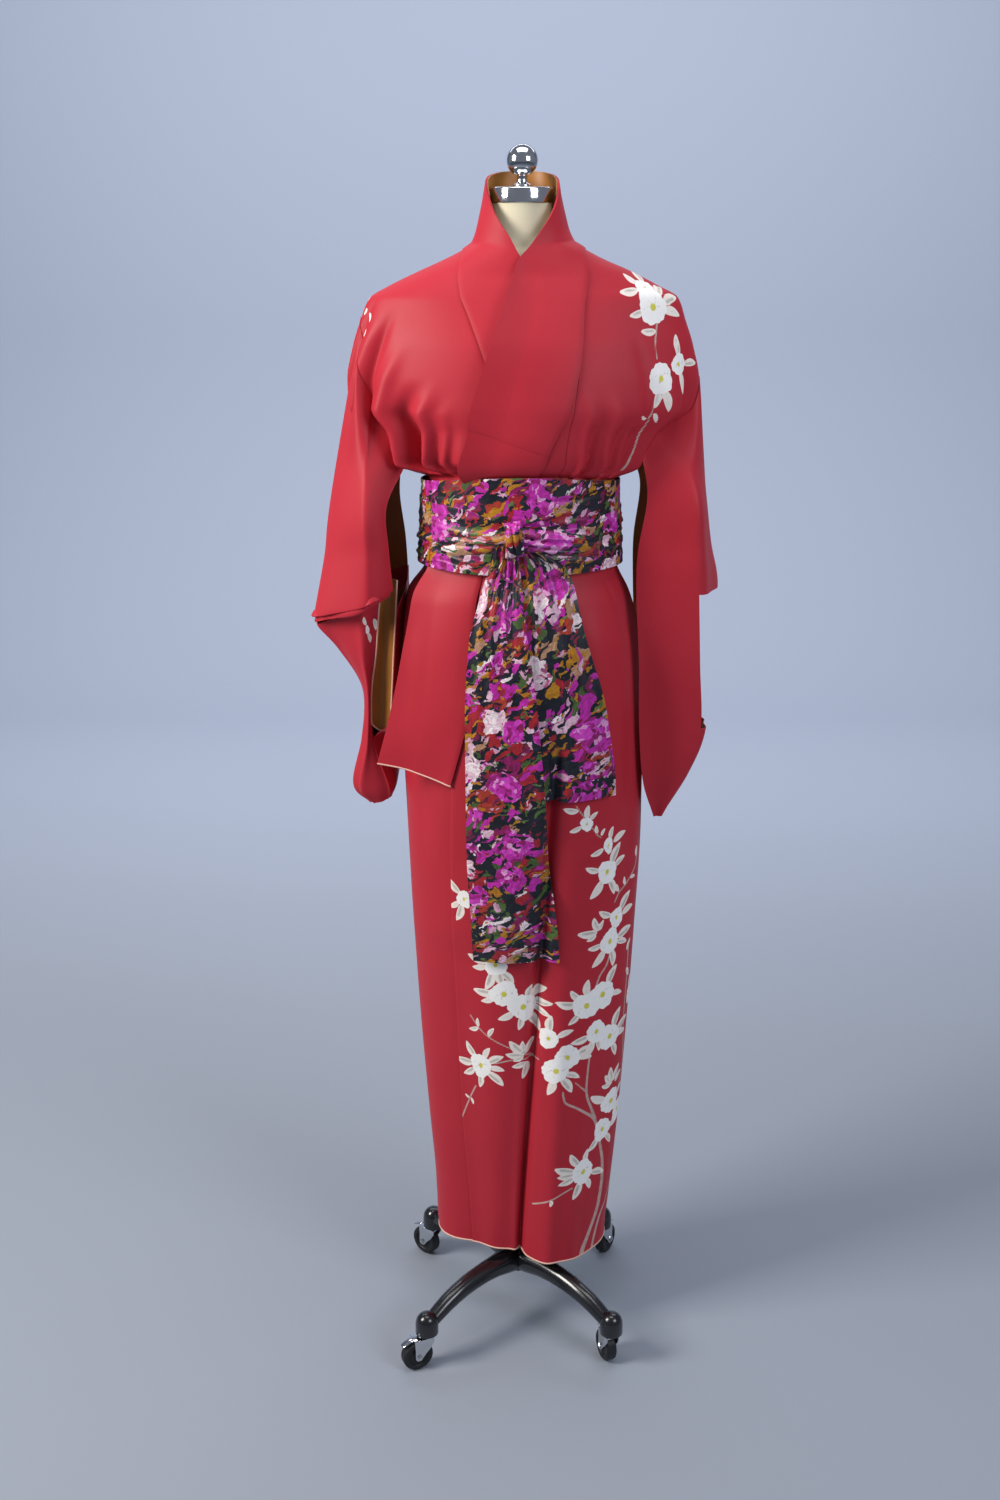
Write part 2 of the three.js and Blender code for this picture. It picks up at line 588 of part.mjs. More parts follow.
function makeSleeves() {
  const acrosses = span(0, 4, 12);
  const leftDowns = span(0, 7, 14);
  const rightDowns = [...span(0, 3, 6), ...span(4, 9, 10)];
  // The cuff is the slit below the top fold on the left sleeve, and the wide mouth that faces
  // forwards on the right sleeve.
  sleeve("sleeve_left", cloth, {
    table: leftSleeve,
    side: 1,
    downs: leftDowns,
    acrosses,
    open: (i, j) => !(leftDowns[i] >= 3 && leftDowns[i] < 5 && acrosses[j] > 0.9 && acrosses[j] < 2.9),
  });
  sleeve("sleeve_right", cloth, {
    table: rightSleeve,
    side: -1,
    downs: rightDowns,
    acrosses,
    open: (i, j) => !(rightDowns[i] === 3 && acrosses[j] < 1.9),
  });
  const liningAcrosses = span(3.1, 3.97, 4);
  sleeve("sleeve_lining_left", goldLining, {
    table: leftSleeve,
    side: 1,
    downs: span(1, 6, 10),
    acrosses: liningAcrosses,
    inset: LAYER + GAP,
    wall: 1,
  });
  sleeve("sleeve_lining_right", goldLining, {
    table: rightSleeve,
    side: -1,
    downs: span(1, 7.5, 13),
    acrosses: liningAcrosses,
    inset: LAYER + GAP,
    wall: 1,
  });
}

// The sash goes twice round the waist, over the collar in front
const overCollar = COLLAR_OUT + FRONT_LAYERS + 1.4;
const sashTurn = LAYER + GAP;
const sashOut = (angle, turn) => turn * sashTurn + EASE + overCollar * inFront(angle);
const sashTop = (angle) => BELT_TOP - 2 + BELT_RISE * Math.max(Math.cos(degrees(angle)), 0) ** 2;

function sashWrap(name, { turn, top, bottom }) {
  const steps = 33;
  const angles = span(-180, 180 - 360 / steps, steps - 1);
  const grid = (depth) =>
    span(0, 1, 5).map((t) =>
      angles.map((angle) => {
        const z = lerp(bottom(angle), top(angle), t);
        return robePoint(angle, z, sashOut(angle, turn) - depth);
      }),
    );
  addMesh(name, wallGeometry(grid(0), grid(WALL), { around: true }), printedSilk);
}

const outerWrapTop = curveThrough(
  [
    { angle: -180, z: 1304 },
    { angle: -90, z: 1309 },
    { angle: -32, z: 1304 },
    { angle: -8, z: 1286 },
    { angle: 12, z: 1284 },
    { angle: 60, z: 1294 },
    { angle: 180, z: 1304 },
  ],
  "z",
  "angle",
);

// One tail of the sash, hanging over the skirt from under the knot.
function sashTail(name, { top, bottom, left, right, out }) {
  const heights = span(bottom, top, 14);
  panel(name, printedSilk, {
    heights,
    columns: 5,
    from: (z) => angleAt(left(z), z),
    to: (z) => angleAt(right(z), z),
    out: () => out,
  });
}

function makeKnot(out) {
  const [halfWide, halfDeep, halfTall] = [33, 14, 25];
  const knot = new THREE.SphereGeometry(1, 16, 12);
  const position = knot.getAttribute("position");
  for (let i = 0; i < position.count; i += 1) {
    const p = new THREE.Vector3().fromBufferAttribute(position, i);
    const waist = 1 - 0.22 * Math.exp(-((p.z / 0.3) ** 2)) * Math.abs(p.x);
    position.setXYZ(i, p.x * halfWide * waist, p.y * halfDeep, p.z * halfTall * (1 + 0.12 * p.x));
  }
  knot.deleteAttribute("normal");
  knot.deleteAttribute("uv");
  const solid = mergeVertices(knot, 1e-3);
  solid.computeVertexNormals();
  const z = 1272;
  const seat = robePoint(-4, z, out).y + 0.7; // the tails curve away a little under the knot
  addMesh("sash_knot", solid, printedSilk).position.set(-8, seat - halfDeep, z);
}

function makeSash() {
  sashWrap("sash_wrap_inner", { turn: 1, top: sashTop, bottom: () => BELT_BOTTOM });
  sashWrap("sash_wrap_outer", { turn: 2, top: outerWrapTop, bottom: () => BELT_BOTTOM - 2 });
  const overSash = sashOut(0, 2);
  const longLeft = curveThrough(
    [
      { z: 654, x: -62 },
      { z: 834, x: -69 },
      { z: 1024, x: -70 },
      { z: 1122, x: -65 },
      { z: 1262, x: -34 },
    ],
    "x",
  );
  const longRight = curveThrough(
    [
      { z: 654, x: 51 },
      { z: 789, x: 40 },
      { z: 1052, x: 18 },
      { z: 1180, x: 2 },
      { z: 1262, x: -3 },
    ],
    "x",
  );
  const shortLeft = curveThrough(
    [
      { z: 903, x: 26 },
      { z: 1023, x: 10 },
      { z: 1262, x: -6 },
    ],
    "x",
  );
  const shortRight = curveThrough(
    [
      { z: 903, x: 120 },
      { z: 1023, x: 107 },
      { z: 1135, x: 78 },
      { z: 1227, x: 52 },
      { z: 1262, x: 14 },
    ],
    "x",
  );
  const tailStep = LAYER + GAP;
  const top = 1262; // under the knot
  sashTail("sash_tail_short", {
    top,
    bottom: 903,
    left: shortLeft,
    right: shortRight,
    out: overSash + tailStep,
  });
  sashTail("sash_tail_long", {
    top,
    bottom: 656,
    left: longLeft,
    right: longRight,
    out: overSash + 2 * tailStep,
  });
  makeKnot(overSash + 2 * tailStep);
}

// The dress form: a smooth limbless torso. Its shoulders carry the robe.
const formSections = [
  { z: 862, wide: 128, front: 84, back: 90 },
  { z: 870, wide: 142, front: 94, back: 102 },
  { z: 900, wide: 150, front: 100, back: 108 },
  { z: 1000, wide: 157, front: 106, back: 114 },
  { z: 1100, wide: 152, front: 103, back: 108 },
  { z: 1200, wide: 122, front: 88, back: 82 },
  { z: 1275, wide: 110, front: 80, back: 70 },
  { z: 1350, wide: 120, front: 88, back: 74 },
  { z: 1440, wide: 138, front: 102, back: 80 },
  { z: 1500, wide: 152, front: 94, back: 80 },
  { z: 1550, wide: 160, front: 78, back: 72 },
  { z: 1582, wide: 162, front: 66, back: 64 },
  { z: 1600, wide: 150, front: 60, back: 58 },
  { z: 1615, wide: 120, front: 55, back: 52 },
  { z: 1628, wide: 90, front: 50, back: 45 },
  { z: 1638, wide: 60, front: 44, back: 41 },
  { z: 1650, wide: 43, front: 42, back: 40 },
  { z: 1691, wide: 40, front: 40, back: 38 },
];

function makeForm() {
  const wide = curveThrough(formSections, "wide");
  const front = curveThrough(formSections, "front");
  const back = curveThrough(formSections, "back");
  const rest = 2.1; // the shoulders lie this far below the cloth's outside
  const heights = [862, 870, 900, 980, 1080, 1160, 1215, 1275, 1350, 1440, 1500, 1540]
    .concat([1566, 1582, 1592, 1603, 1611, 1618, 1624, 1630, 1640, 1652, 1691]);
  const rings = heights.map((z) =>
    Array.from({ length: FORM_SIDES }, (_, j) => {
      const a = (j / FORM_SIDES) * 2 * Math.PI;
      const cap = Math.sin(a) < 0 ? halfRight(z + rest) : halfLeft(z + rest);
      const x = Math.min(wide(z), z > 1560 ? cap : Infinity) * Math.sin(a);
      return new THREE.Vector3(x, -(Math.cos(a) > 0 ? front(z) : back(z)) * Math.cos(a), z);
    }),
  );
  addMesh("form_torso", solidStack(rings), jersey);
}

// A closed solid through a stack of rings, with a flat fan at each end.
function solidStack(rings) {
  const count = rings[0].length;
  const centre = (ring) => ring.reduce((sum, p) => sum.add(p), new THREE.Vector3()).divideScalar(count);
  const points = [...rings.flat(), centre(rings[0]), centre(rings.at(-1))];
  const triangles = [];
  for (let j = 0; j < count; j += 1) {
    const next = (j + 1) % count;
    const top = (rings.length - 1) * count;
    triangles.push(points.length - 2, next, j, points.length - 1, top + j, top + next);
    for (let i = 0; i < rings.length - 1; i += 1) {
      const [a, b] = [i * count + j, i * count + next];
      triangles.push(a, b, b + count, a, b + count, a + count);
    }
  }
  const geometry = new THREE.BufferGeometry();
  const coordinates = points.flatMap((p) => [p.x, p.y, p.z]);
  geometry.setAttribute("position", new THREE.Float32BufferAttribute(coordinates, 3));
  geometry.setIndex(triangles);
  geometry.computeVertexNormals();
  return geometry;
}

// A solid of revolution about Z, from (radius, height) points that start and end on the axis.
function turned(profile, segments = 24) {
  const points = profile.map(([radius, height]) => new THREE.Vector2(radius, height));
  return new THREE.LatheGeometry(points, segments).rotateX(Math.PI / 2);
}

function makeFinial() {
  const capBottom = 1691 + GAP;
  const capTop = 1711;
  const cap = [[0, capBottom], [41.5, capBottom], [41.5, capTop - 2], [39.5, capTop], [0, capTop]];
  addMesh("neck_cap", turned(cap, 32), chrome);
  const ballCentre = 1743.5;
  const ballR = 20.5;
  const stemTop = ballCentre - 18;
  const stem = [
    [0, capTop + GAP],
    [12, capTop + GAP],
    [12, capTop + 3],
    [7, capTop + 5],
    [7, stemTop],
    [0, stemTop],
  ];
  addMesh("finial_stem", turned(stem, 20), chrome);
  const flat = stemTop + GAP;
  const start = Math.asin((ballCentre - flat) / ballR);
  const arc = span(-start, Math.PI / 2, 9).map((a) => [
    Math.max(ballR * Math.cos(a), 0),
    ballCentre + ballR * Math.sin(a),
  ]);
  arc[arc.length - 1][0] = 0;
  addMesh("finial_ball", turned([[0, flat], ...arc]), chrome);
}

// The base: a pole, a hub, four legs and a cap over each caster
const hub = new THREE.Vector3(0, AXIS_Y, 92);
const capZ = 57.5;
const casters = [
  { name: "front_right", x: -1, y: -1, heading: -155 },
  { name: "front_left", x: 1, y: -1, heading: 110 },
  { name: "back_right", x: -1, y: 1, heading: 140 },
  { name: "back_left", x: 1, y: 1, heading: 60 },
];

function makePoleAndHub() {
  const top = 862 - GAP;
  const bottom = hub.z + 22 + GAP;
  const tube = turned([[0, bottom], [12.5, bottom], [12.5, top], [0, top]], 20);
  addMesh("pole", tube, chrome).position.set(0, AXIS_Y, 0);
  const boss = [[0, -20], [19, -20], [26, -14], [27, 8], [20, 22], [0, 22]];
  addMesh("base_hub", turned(boss, 24), enamel).position.copy(hub);
}

function makeLeg(caster) {
  const out = new THREE.Vector3(caster.x, caster.y, 0).normalize();
  const reach = BASE_HALF * Math.SQRT2;
  const at = (distance, z) => new THREE.Vector3(0, AXIS_Y, z).addScaledVector(out, distance);
  const path = new THREE.CatmullRomCurve3([
    at(28.3, 94),
    at(60, 99),
    at(110, 97),
    at(150, 88),
    at(reach - 17.8, 76),
  ]);
  const sideways = new THREE.Vector3(-out.y, out.x, 0);
  const rings = span(0, 1, 8).map((t) => {
    const p = path.getPoint(t);
    const forward = path.getTangent(t);
    const upward = forward.clone().cross(sideways).normalize().multiplyScalar(-1);
    const [halfWide, halfTall] = [lerp(12, 8.5, t), lerp(13, 8, t)];
    return Array.from({ length: 10 }, (_, j) => {
      const a = (j / 10) * 2 * Math.PI;
      return p
        .clone()
        .addScaledVector(sideways, halfWide * Math.cos(a))
        .addScaledVector(upward, halfTall * Math.sin(a));
    });
  });
  addMesh("leg_" + caster.name, facingOut(solidStack(rings)), enamel);
}

// Turns a closed geometry's faces outwards.
function facingOut(geometry) {
  const index = [...geometry.index.array];
  const position = geometry.getAttribute("position");
  const corner = (k) => new THREE.Vector3().fromBufferAttribute(position, index[k]);
  let volume = 0;
  for (let k = 0; k < index.length; k += 3) volume += corner(k).dot(corner(k + 1).cross(corner(k + 2)));
  if (volume < 0) geometry.setIndex(index.reverse());
  geometry.computeVertexNormals();
  return geometry;
}

function toManifold(geometry) {
  const bare = geometry.clone();
  bare.deleteAttribute("normal");
  bare.deleteAttribute("uv");
  const merged = mergeVertices(bare, 1e-3);
  const vertProperties = merged.getAttribute("position").array;
  const triVerts = new Uint32Array(merged.index.array);
  return new wasm.Manifold(new wasm.Mesh({ numProp: 3, vertProperties, triVerts }));
}

function fromManifold(solid) {
  const mesh = solid.getMesh();
  const geometry = new THREE.BufferGeometry();
  geometry.setAttribute("position", new THREE.BufferAttribute(mesh.vertProperties, 3));
  geometry.setIndex(new THREE.BufferAttribute(mesh.triVerts, 1));
  geometry.computeVertexNormals();
  return geometry;
}

// The yoke over a wheel: two cheeks, a crown and the swivel race. The heading runs along +X.
function yokeGeometry() {
  const half = WHEEL_WIDTH / 2 + GAP;
  const cheek = 2;
  const crown = WHEEL_R * 2 + 2.5;
  const shape = new THREE.Shape([
    new THREE.Vector2(-half - cheek, WHEEL_R - 7),
    new THREE.Vector2(-half, WHEEL_R - 7),
    new THREE.Vector2(-half, crown),
    new THREE.Vector2(half, crown),
    new THREE.Vector2(half, WHEEL_R - 7),
    new THREE.Vector2(half + cheek, WHEEL_R - 7),
    new THREE.Vector2(half + cheek, crown + 2.5),
    new THREE.Vector2(-half - cheek, crown + 2.5),
  ]);
  const length = 32;
  const bracket = new THREE.ExtrudeGeometry(shape, { depth: length, bevelEnabled: false });
  bracket.rotateX(Math.PI / 2).rotateZ(Math.PI / 2).translate(-8, 0, 0);
  const race = turned([[0, crown + 1], [9, crown + 1], [9, capZ - 0.4], [0, capZ - 0.4]], 20);
  return fromManifold(toManifold(bracket).add(toManifold(race)));
}

function makeCaster(caster) {
  const swivel = new THREE.Group();
  swivel.position.set(caster.x * BASE_HALF, AXIS_Y + caster.y * BASE_HALF, 0);
  part.add(swivel);
  const dome = [[0, capZ], [16.5, capZ], [16.5, 74], [14.6, 83], [9.5, 89], [0, 92]];
  addMesh("caster_cap_" + caster.name, turned(dome, 20), enamel, swivel);
  const turnedFork = new THREE.Group();
  turnedFork.rotation.z = degrees(caster.heading);
  swivel.add(turnedFork);
  addMesh("fork_" + caster.name, yokeGeometry(), chrome, turnedFork);
  const facets = 20;
  const flatDown = Math.PI / facets; // half a facet, so that the wheel stands on a flat
  const cornerR = WHEEL_R / Math.cos(flatDown);
  const wheel = new THREE.CylinderGeometry(cornerR, cornerR, WHEEL_WIDTH, facets);
  wheel.rotateY(flatDown);
  const wheelMesh = addMesh("wheel_" + caster.name, wheel, rubber, turnedFork);
  wheelMesh.position.set(TRAIL, 0, WHEEL_R);
  const lever = new THREE.Shape([
    new THREE.Vector2(0, 0),
    new THREE.Vector2(16, -7),
    new THREE.Vector2(17.5, -4.5),
    new THREE.Vector2(0, 4),
  ]);
  const leverGeometry = new THREE.ExtrudeGeometry(lever, { depth: 12, bevelEnabled: false });
  leverGeometry.translate(0, 0, -6).rotateX(Math.PI / 2);
  addMesh("brake_lever_" + caster.name, leverGeometry, chrome, turnedFork).position.set(24 + GAP, 0, 50.5);
}

makeBodies();
makeOkumi();
makeHemEdges();
makeCollar();
makeSleeves();
makeSash();
makeForm();
makeFinial();
makePoleAndHub();
for (const caster of casters) {
  makeLeg(caster);
  makeCaster(caster);
}

// The origin is on the floor, under the middle of the part's box.
const box = new THREE.Box3().setFromObject(part, true);
const middle = box.getCenter(new THREE.Vector3());
part.position.set(-middle.x, -middle.y, 0);

export default root;
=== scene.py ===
import math

import bpy
import numpy as np
from mathutils import Matrix, Vector


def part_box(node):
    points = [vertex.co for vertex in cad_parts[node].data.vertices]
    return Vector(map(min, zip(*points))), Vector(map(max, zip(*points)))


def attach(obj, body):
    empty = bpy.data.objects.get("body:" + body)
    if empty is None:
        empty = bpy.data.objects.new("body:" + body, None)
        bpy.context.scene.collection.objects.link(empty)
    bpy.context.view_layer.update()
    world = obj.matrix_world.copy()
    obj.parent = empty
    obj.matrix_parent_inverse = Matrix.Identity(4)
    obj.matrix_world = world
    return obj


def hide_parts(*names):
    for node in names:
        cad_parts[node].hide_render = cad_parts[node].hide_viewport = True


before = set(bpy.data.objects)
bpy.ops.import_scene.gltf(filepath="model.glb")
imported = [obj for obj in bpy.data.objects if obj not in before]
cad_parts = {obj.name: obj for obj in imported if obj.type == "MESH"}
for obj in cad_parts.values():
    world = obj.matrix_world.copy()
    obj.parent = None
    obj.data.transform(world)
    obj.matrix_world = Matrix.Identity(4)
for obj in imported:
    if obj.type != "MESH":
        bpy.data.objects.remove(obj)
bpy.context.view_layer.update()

# The cloth is worked out in millimetres round the form's upright axis, with the front towards -Y and
# the wearer's left towards +X. The axis comes from the ball on top of the form.
BALL_LOW, BALL_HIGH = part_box("finial_ball")
AXIS = np.array([(BALL_LOW.x + BALL_HIGH.x) / 2, (BALL_LOW.y + BALL_HIGH.y) / 2, 0.0])
MM = 0.001

WALL = 1.3  # cloth and lining together
THIN = 1.0  # sleeves, sash and facing
GAP = 0.3  # between layers
LAYER = WALL + GAP
TAIL_WIDTH = 0.11  # metres
WAIST_RADIUS = 0.14  # metres, for the print round the waist
TURN_STEP = LAYER + GAP  # from one turn or tail of the sash to the next
EASE = 1.8  # extra room for what lies over a curved panel
COLLAR_OUT = 2.0  # from the robe to the outside of the collar
COLLAR_LIFT = 8.5  # how far the collar's free edge stands off in front
SKIRT_SWING = 3.0  # how far the left front swings out below the sash
UNDER_DROP = 11.0  # how far the covered part of the right front hangs behind it
FRONT_LAYERS = 2 * (LAYER + EASE)  # the left front lies over the right front and its collar
BELT_OUT = 12.5  # how far the sash stands off the robe in front, over collar and fronts
BELT_RISE = 16.0  # how much higher the sash sits in front
HEM = 137.0
NECK = 1640.0
WAIST = 1264.0  # where skirt and bodice meet, under the sash
EDGE_OUT = 2.4  # how far the left front's free edge lies off the robe
UNDYED = -20.0  # signed distance that means no dye here


# ---------------------------------------------------------------- shapes of the worn cloth

def smooth(x, low, high):
    t = np.clip((np.asarray(x, float) - low) / (high - low), 0, 1)
    return t * t * (3 - 2 * t)


def hill(x, width):
    return np.exp(-((x / width) ** 2))


def shares(count):
    return np.linspace(0, 1, count)


def hermite(t, first, last, slope_first, slope_last):
    """The cubic from first to last that has these slopes at its ends."""
    return ((2 * t**3 - 3 * t**2 + 1) * first + (t**3 - 2 * t**2 + t) * slope_first
            + (3 * t**2 - 2 * t**3) * last + (t**3 - t**2) * slope_last)


def curve(rows, column):
    """A smooth curve through one column of a table, with no overshoot between its rows."""
    at = np.array([row[0] for row in rows], float)
    value = np.array([row[column] for row in rows], float)
    rise = np.diff(value) / np.diff(at)
    slope = np.zeros(len(at))
    before, after = rise[:-1], rise[1:]
    total = np.where(before + after == 0, 1, before + after)
    slope[1:-1] = np.where(before * after <= 0, 0, 2 * before * after / total)

    def evaluate(position):
        p = np.clip(np.asarray(position, float), at[0], at[-1])
        i = np.clip(np.searchsorted(at, p, side="left") - 1, 0, len(at) - 2)
        step = at[i + 1] - at[i]
        return hermite((p - at[i]) / step, value[i], value[i + 1], step * slope[i], step * slope[i + 1])

    return evaluate


# Horizontal sections of the robe: height, half widths to the wearer's right and left, depths to the
# front and back, and pinch, which draws the front and back together towards the sides
SECTIONS = [
    (137, 128, 132, 100, 98, 0),
    (215, 130, 138, 101, 101, 0),
    (335, 139, 148, 104, 106, 0),
    (510, 151, 159, 108, 112, 0),
    (676, 159, 167, 113, 118, 0),
    (836, 165, 173, 118, 124, 0),
    (1010, 170, 173, 121, 128, 0),
    (1100, 168, 168, 119, 122, 0),
    (1170, 160, 150, 113, 108, 0),
    (1219, 131, 129, 104, 89, 0),
    (1334, 127, 125, 104, 87, 0),
    (1341, 150, 138, 111, 92, 0.05),
    (1352, 181, 160, 117, 97, 0.14),
    (1368, 190, 170, 120, 99, 0.2),
    (1395, 204, 192, 121, 100, 0.3),
    (1430, 236, 233, 121, 100, 0.4),
    (1462, 236, 238, 118, 98, 0.42),
    (1508, 227, 229, 109.5, 93, 0.4),
    (1541, 216, 218, 97.5, 87, 0.36),
    (1570, 203, 207, 84.5, 79, 0.28),
    (1585, 178, 180, 77.5, 73, 0.2),
    (1603, 140, 144, 69, 66, 0.1),
    (1618, 106, 108, 65, 59, 0.05),
    (1630, 81, 84, 62, 54, 0),
    (1640, 64, 66, 60, 50, 0),
    (1672, 54, 55, 55, 47, 0),
    (1705, 47, 47.5, 49, 48, 0),
    (1732, 44, 44.5, 46, 50, 0),
]
half_right, half_left, depth_front, depth_back, pinch_at = (curve(SECTIONS, k) for k in range(1, 6))

# Folds that the cloth hangs in: top and bottom height, angle at the top and at the bottom, half width
# in degrees, and depth outwards at the top and at the bottom. Angles run from the centre front (0) to
# the wearer's left (90) and right (-90).
FOLDS = [
    (1010, 120, 16, 1.0, 2.8, -12, -18),
    (900, 120, 12, -4, 13, -1, -18),
    (1010, 120, 23, 17, 7, 3, 8),
    (700, 120, -34, -30, 34, -2, -38),
    (1000, 120, 40, 34, 14, 2, 7),
    (1180, 700, 62, 58, 7, -7, -1),
    (1180, 800, 38, 34, 8, 4, 1),
    (1180, 780, -56, -58, 6, -4, -1),
    (1160, 120, 128, 132, 9, -5, -8),
    (1150, 120, 156, 160, 9, 4, 9),
    (1150, 120, 205, 203, 10, -4, -9),
    (1160, 120, 236, 232, 10, 4, 8),
    (1475, 1345, 19, 29.5, 2.0, 0.6, 6),
    (1460, 1345, 22.5, 34, 2.0, -0.8, -10),
    (1475, 1345, 27, 42, 2.6, 1.0, 8),
    (1450, 1345, 34, 49, 2.4, -1.0, -12),
    (1450, 1345, 41, 58, 2.6, -2, -12),
    (1500, 1345, 47, 68, 3.6, 2.5, 9),
    (1545, 1415, 40, 45, 2.6, -1, -4),
    (1510, 1345, 62, 82, 4.5, -4, -14),
    (1450, 1345, -20.5, -34, 2.2, -1, -8),
    (1465, 1345, -24, -42, 2.6, -1.5, -11),
    (1480, 1345, -28, -47, 2.6, 2, 9),
    (1475, 1345, -35.5, -54, 3.8, -8, -36),
    (1530, 1345, -44, -61, 4.0, 2, 17),
    (1570, 1345, -52.5, -70, 3.4, -2, -22),
    (1570, 1345, -61.5, -80, 4.0, 1, 10),
    (1590, 1345, -70, -92, 4, -1, -15),
    (1480, 1345, 118, 126, 6, -2, -7),
    (1500, 1345, 140, 144, 6, 1, 5),
    (1500, 1345, 160, 162, 6, -1, -5),
    (1500, 1345, 200, 198, 6, -1, -5),
    (1500, 1345, 220, 216, 6, 1, 5),
    (1480, 1345, 242, 234, 6, -2, -7),
]
# Finer creases of the same kind, which only the sewn cloth shows
CREASES = [
    (1430, 1345, 24, 26, 1.6, -0.2, -1.6),
    (1425, 1345, 53, 62, 2.0, -0.4, -2.4),
    (1430, 1345, 70, 74, 2.2, 0.4, 2.6),
    (1420, 1345, -29, -38, 1.8, 0.2, 2.0),
    (1425, 1345, -46, -57, 2.0, -0.2, -2.6),
    (1430, 1345, -72, -78, 2.4, 0.4, 2.6),
    (1215, 1090, 24, 30, 2.5, -2.0, -0.2),
    (1215, 1110, 52, 60, 2.5, -2.4, -0.2),
    (1215, 1060, -66, -62, 3.0, 2.0, 0.3),
    (1215, 1100, 76, 82, 3.0, 2.2, 0.2),
    (1215, 1090, -84, -88, 3.0, -2.4, -0.2),
    (1215, 1050, 110, 112, 3.0, -2.2, -0.3),
    (1215, 1030, 168, 170, 4.0, -2.5, -0.4),
    (1215, 1030, 190, 190, 4.0, -2.5, -0.4),
    (1215, 1050, 250, 248, 3.0, -2.2, -0.3),
    (860, 137, 44, 41, 5.0, -0.4, -2.4),
    (900, 137, 58, 62, 6.0, 0.3, 2.0),
    (820, 137, 108, 108, 5.0, -0.4, -3.0),
    (980, 137, 180, 180, 4.0, -0.4, -2.4),
    (900, 137, 144, 146, 5.0, -0.4, -3.0),
    (900, 137, 220, 218, 5.0, -0.4, -3.0),
    (900, 137, 262, 262, 5.0, 0.4, 2.6),
]


def turn_between(angle, centre):
    """The turn from centre to angle, between -180 and 180 degrees."""
    return np.mod(angle - centre + 180, 360) - 180


def fold_depth(table, angle, z):
    depth = np.zeros(np.broadcast(angle, z).shape)
    for top, bottom, top_angle, bottom_angle, spread, top_depth, bottom_depth in table:
        t = (top - z) / (top - bottom)
        turn = turn_between(angle, top_angle + (bottom_angle - top_angle) * t)
        end = smooth(z, bottom - 4, bottom + 12) * (1 - smooth(z, top - 60, top))
        here = (z <= top) & (z >= bottom)
        size = (top_depth + (bottom_depth - top_depth) * t) * end
        depth = depth + np.where(here, size * hill(turn, spread), 0)
    return depth


def robe(angle, z, folded=True):
    """The base surface of the robe. The cloth over the edge of the sash rides higher in front."""
    angle, z = np.broadcast_arrays(np.asarray(angle, float), np.asarray(z, float))
    a = np.radians(angle)
    sine, cosine = np.sin(a), np.cos(a)
    over_sash = smooth(z, 1250, 1330) * (1 - smooth(z, 1370, 1450))
    level = z - BELT_RISE * np.maximum(cosine, 0) ** 2 * over_sash
    wide = np.where(sine < 0, half_right(level), half_left(level))
    deep = np.where(cosine > 0, depth_front(level), depth_back(level))
    pinch = 1 - pinch_at(level) * sine**2
    out_x, out_y = sine / wide, -cosine / deep
    size = np.hypot(out_x, out_y)
    fold = fold_depth(FOLDS, angle, z) if folded else 0
    x = wide * sine + out_x / size * fold
    y = -deep * cosine * pinch + out_y / size * fold
    return np.stack([x, y, z], -1)


def robe_normal(angle, z):
    around = robe(angle + 0.5, z, False) - robe(angle - 0.5, z, False)
    upward = robe(angle, z + 1, False) - robe(angle, z - 1, False)
    normal = np.cross(around, upward)
    return normal / np.linalg.norm(normal, axis=-1, keepdims=True)


def robe_point(angle, z, out):
    """A point on the robe, moved out along the smooth surface's normal, so that layers nest."""
    angle, z = np.broadcast_arrays(np.asarray(angle, float), np.asarray(z, float))
    return robe(angle, z) + robe_normal(angle, z) * np.asarray(out, float)[..., None]


def angle_at(x, z):
    """The angle at which the front of the robe has this x, at this height."""
    wide = np.where(np.asarray(x) < 0, half_right(z), half_left(z))
    return np.degrees(np.arcsin(np.clip(x / wide, -1, 1)))


def in_front(angle):
    return 1 - smooth(np.abs(angle), 62, 112)


def left_front_out(angle, z):
    thinner = 1 - 0.45 * smooth(z, 1380, 1560)
    swing = SKIRT_SWING * (1 - smooth(z, 650, 1150))
    return in_front(angle) * (FRONT_LAYERS * thinner + swing)


def left_skirt_out(angle, z):
    """The left front, whose free edge lies close on the cloth below it."""
    full = left_front_out(angle, z)
    edge = angle_at(LEFT_OKUMI_EDGE(z), z)
    return full - (full - EDGE_OUT) * hill(angle - edge, 17) * (1 - smooth(z, 700, 950))


def right_front_out(angle, z):
    drop = smooth(angle, -34, -16) * in_front(angle) * (1 - smooth(z, 750, 1180))
    return -UNDER_DROP * drop


def seam_angle(z):
    return np.degrees(2 * GAP / depth_front(z))


# Front edges of the panels: height, and x at that height
LEFT_BODY_EDGE = curve(
    [(137, 5), (587, 29), (897, 38), (1228, 50), (1356, 57), (1495, 74), (1571, 80), (1600, 79),
     (1618, 76), (1630, 71), (1640, 66)], 1)
LEFT_OKUMI_EDGE = curve(
    [(137, -90), (391, -97), (740, -98), (918, -94), (1040, -68), (1228, -50), (1356, 27),
     (1490, 70)], 1)
RIGHT_BODY_EDGE = curve(
    [(137, 22), (1228, 30), (1356, 34), (1400, 8), (1440, -16), (1495, -49), (1532, -62), (1577, -75),
     (1600, -78), (1618, -76), (1630, -69), (1640, -64)], 1)


def heights(*stretches):
    """Heights of rows, from (first, last, spacing) stretches that follow one another."""
    runs = []
    for first, last, spacing in stretches:
        steps = max(1, int(round((last - first) / spacing)))
        runs.append(np.linspace(first, last, steps + 1)[:-1])
    return np.concatenate(runs + [[stretches[-1][1]]])


# ---------------------------------------------------------------- colours and materials

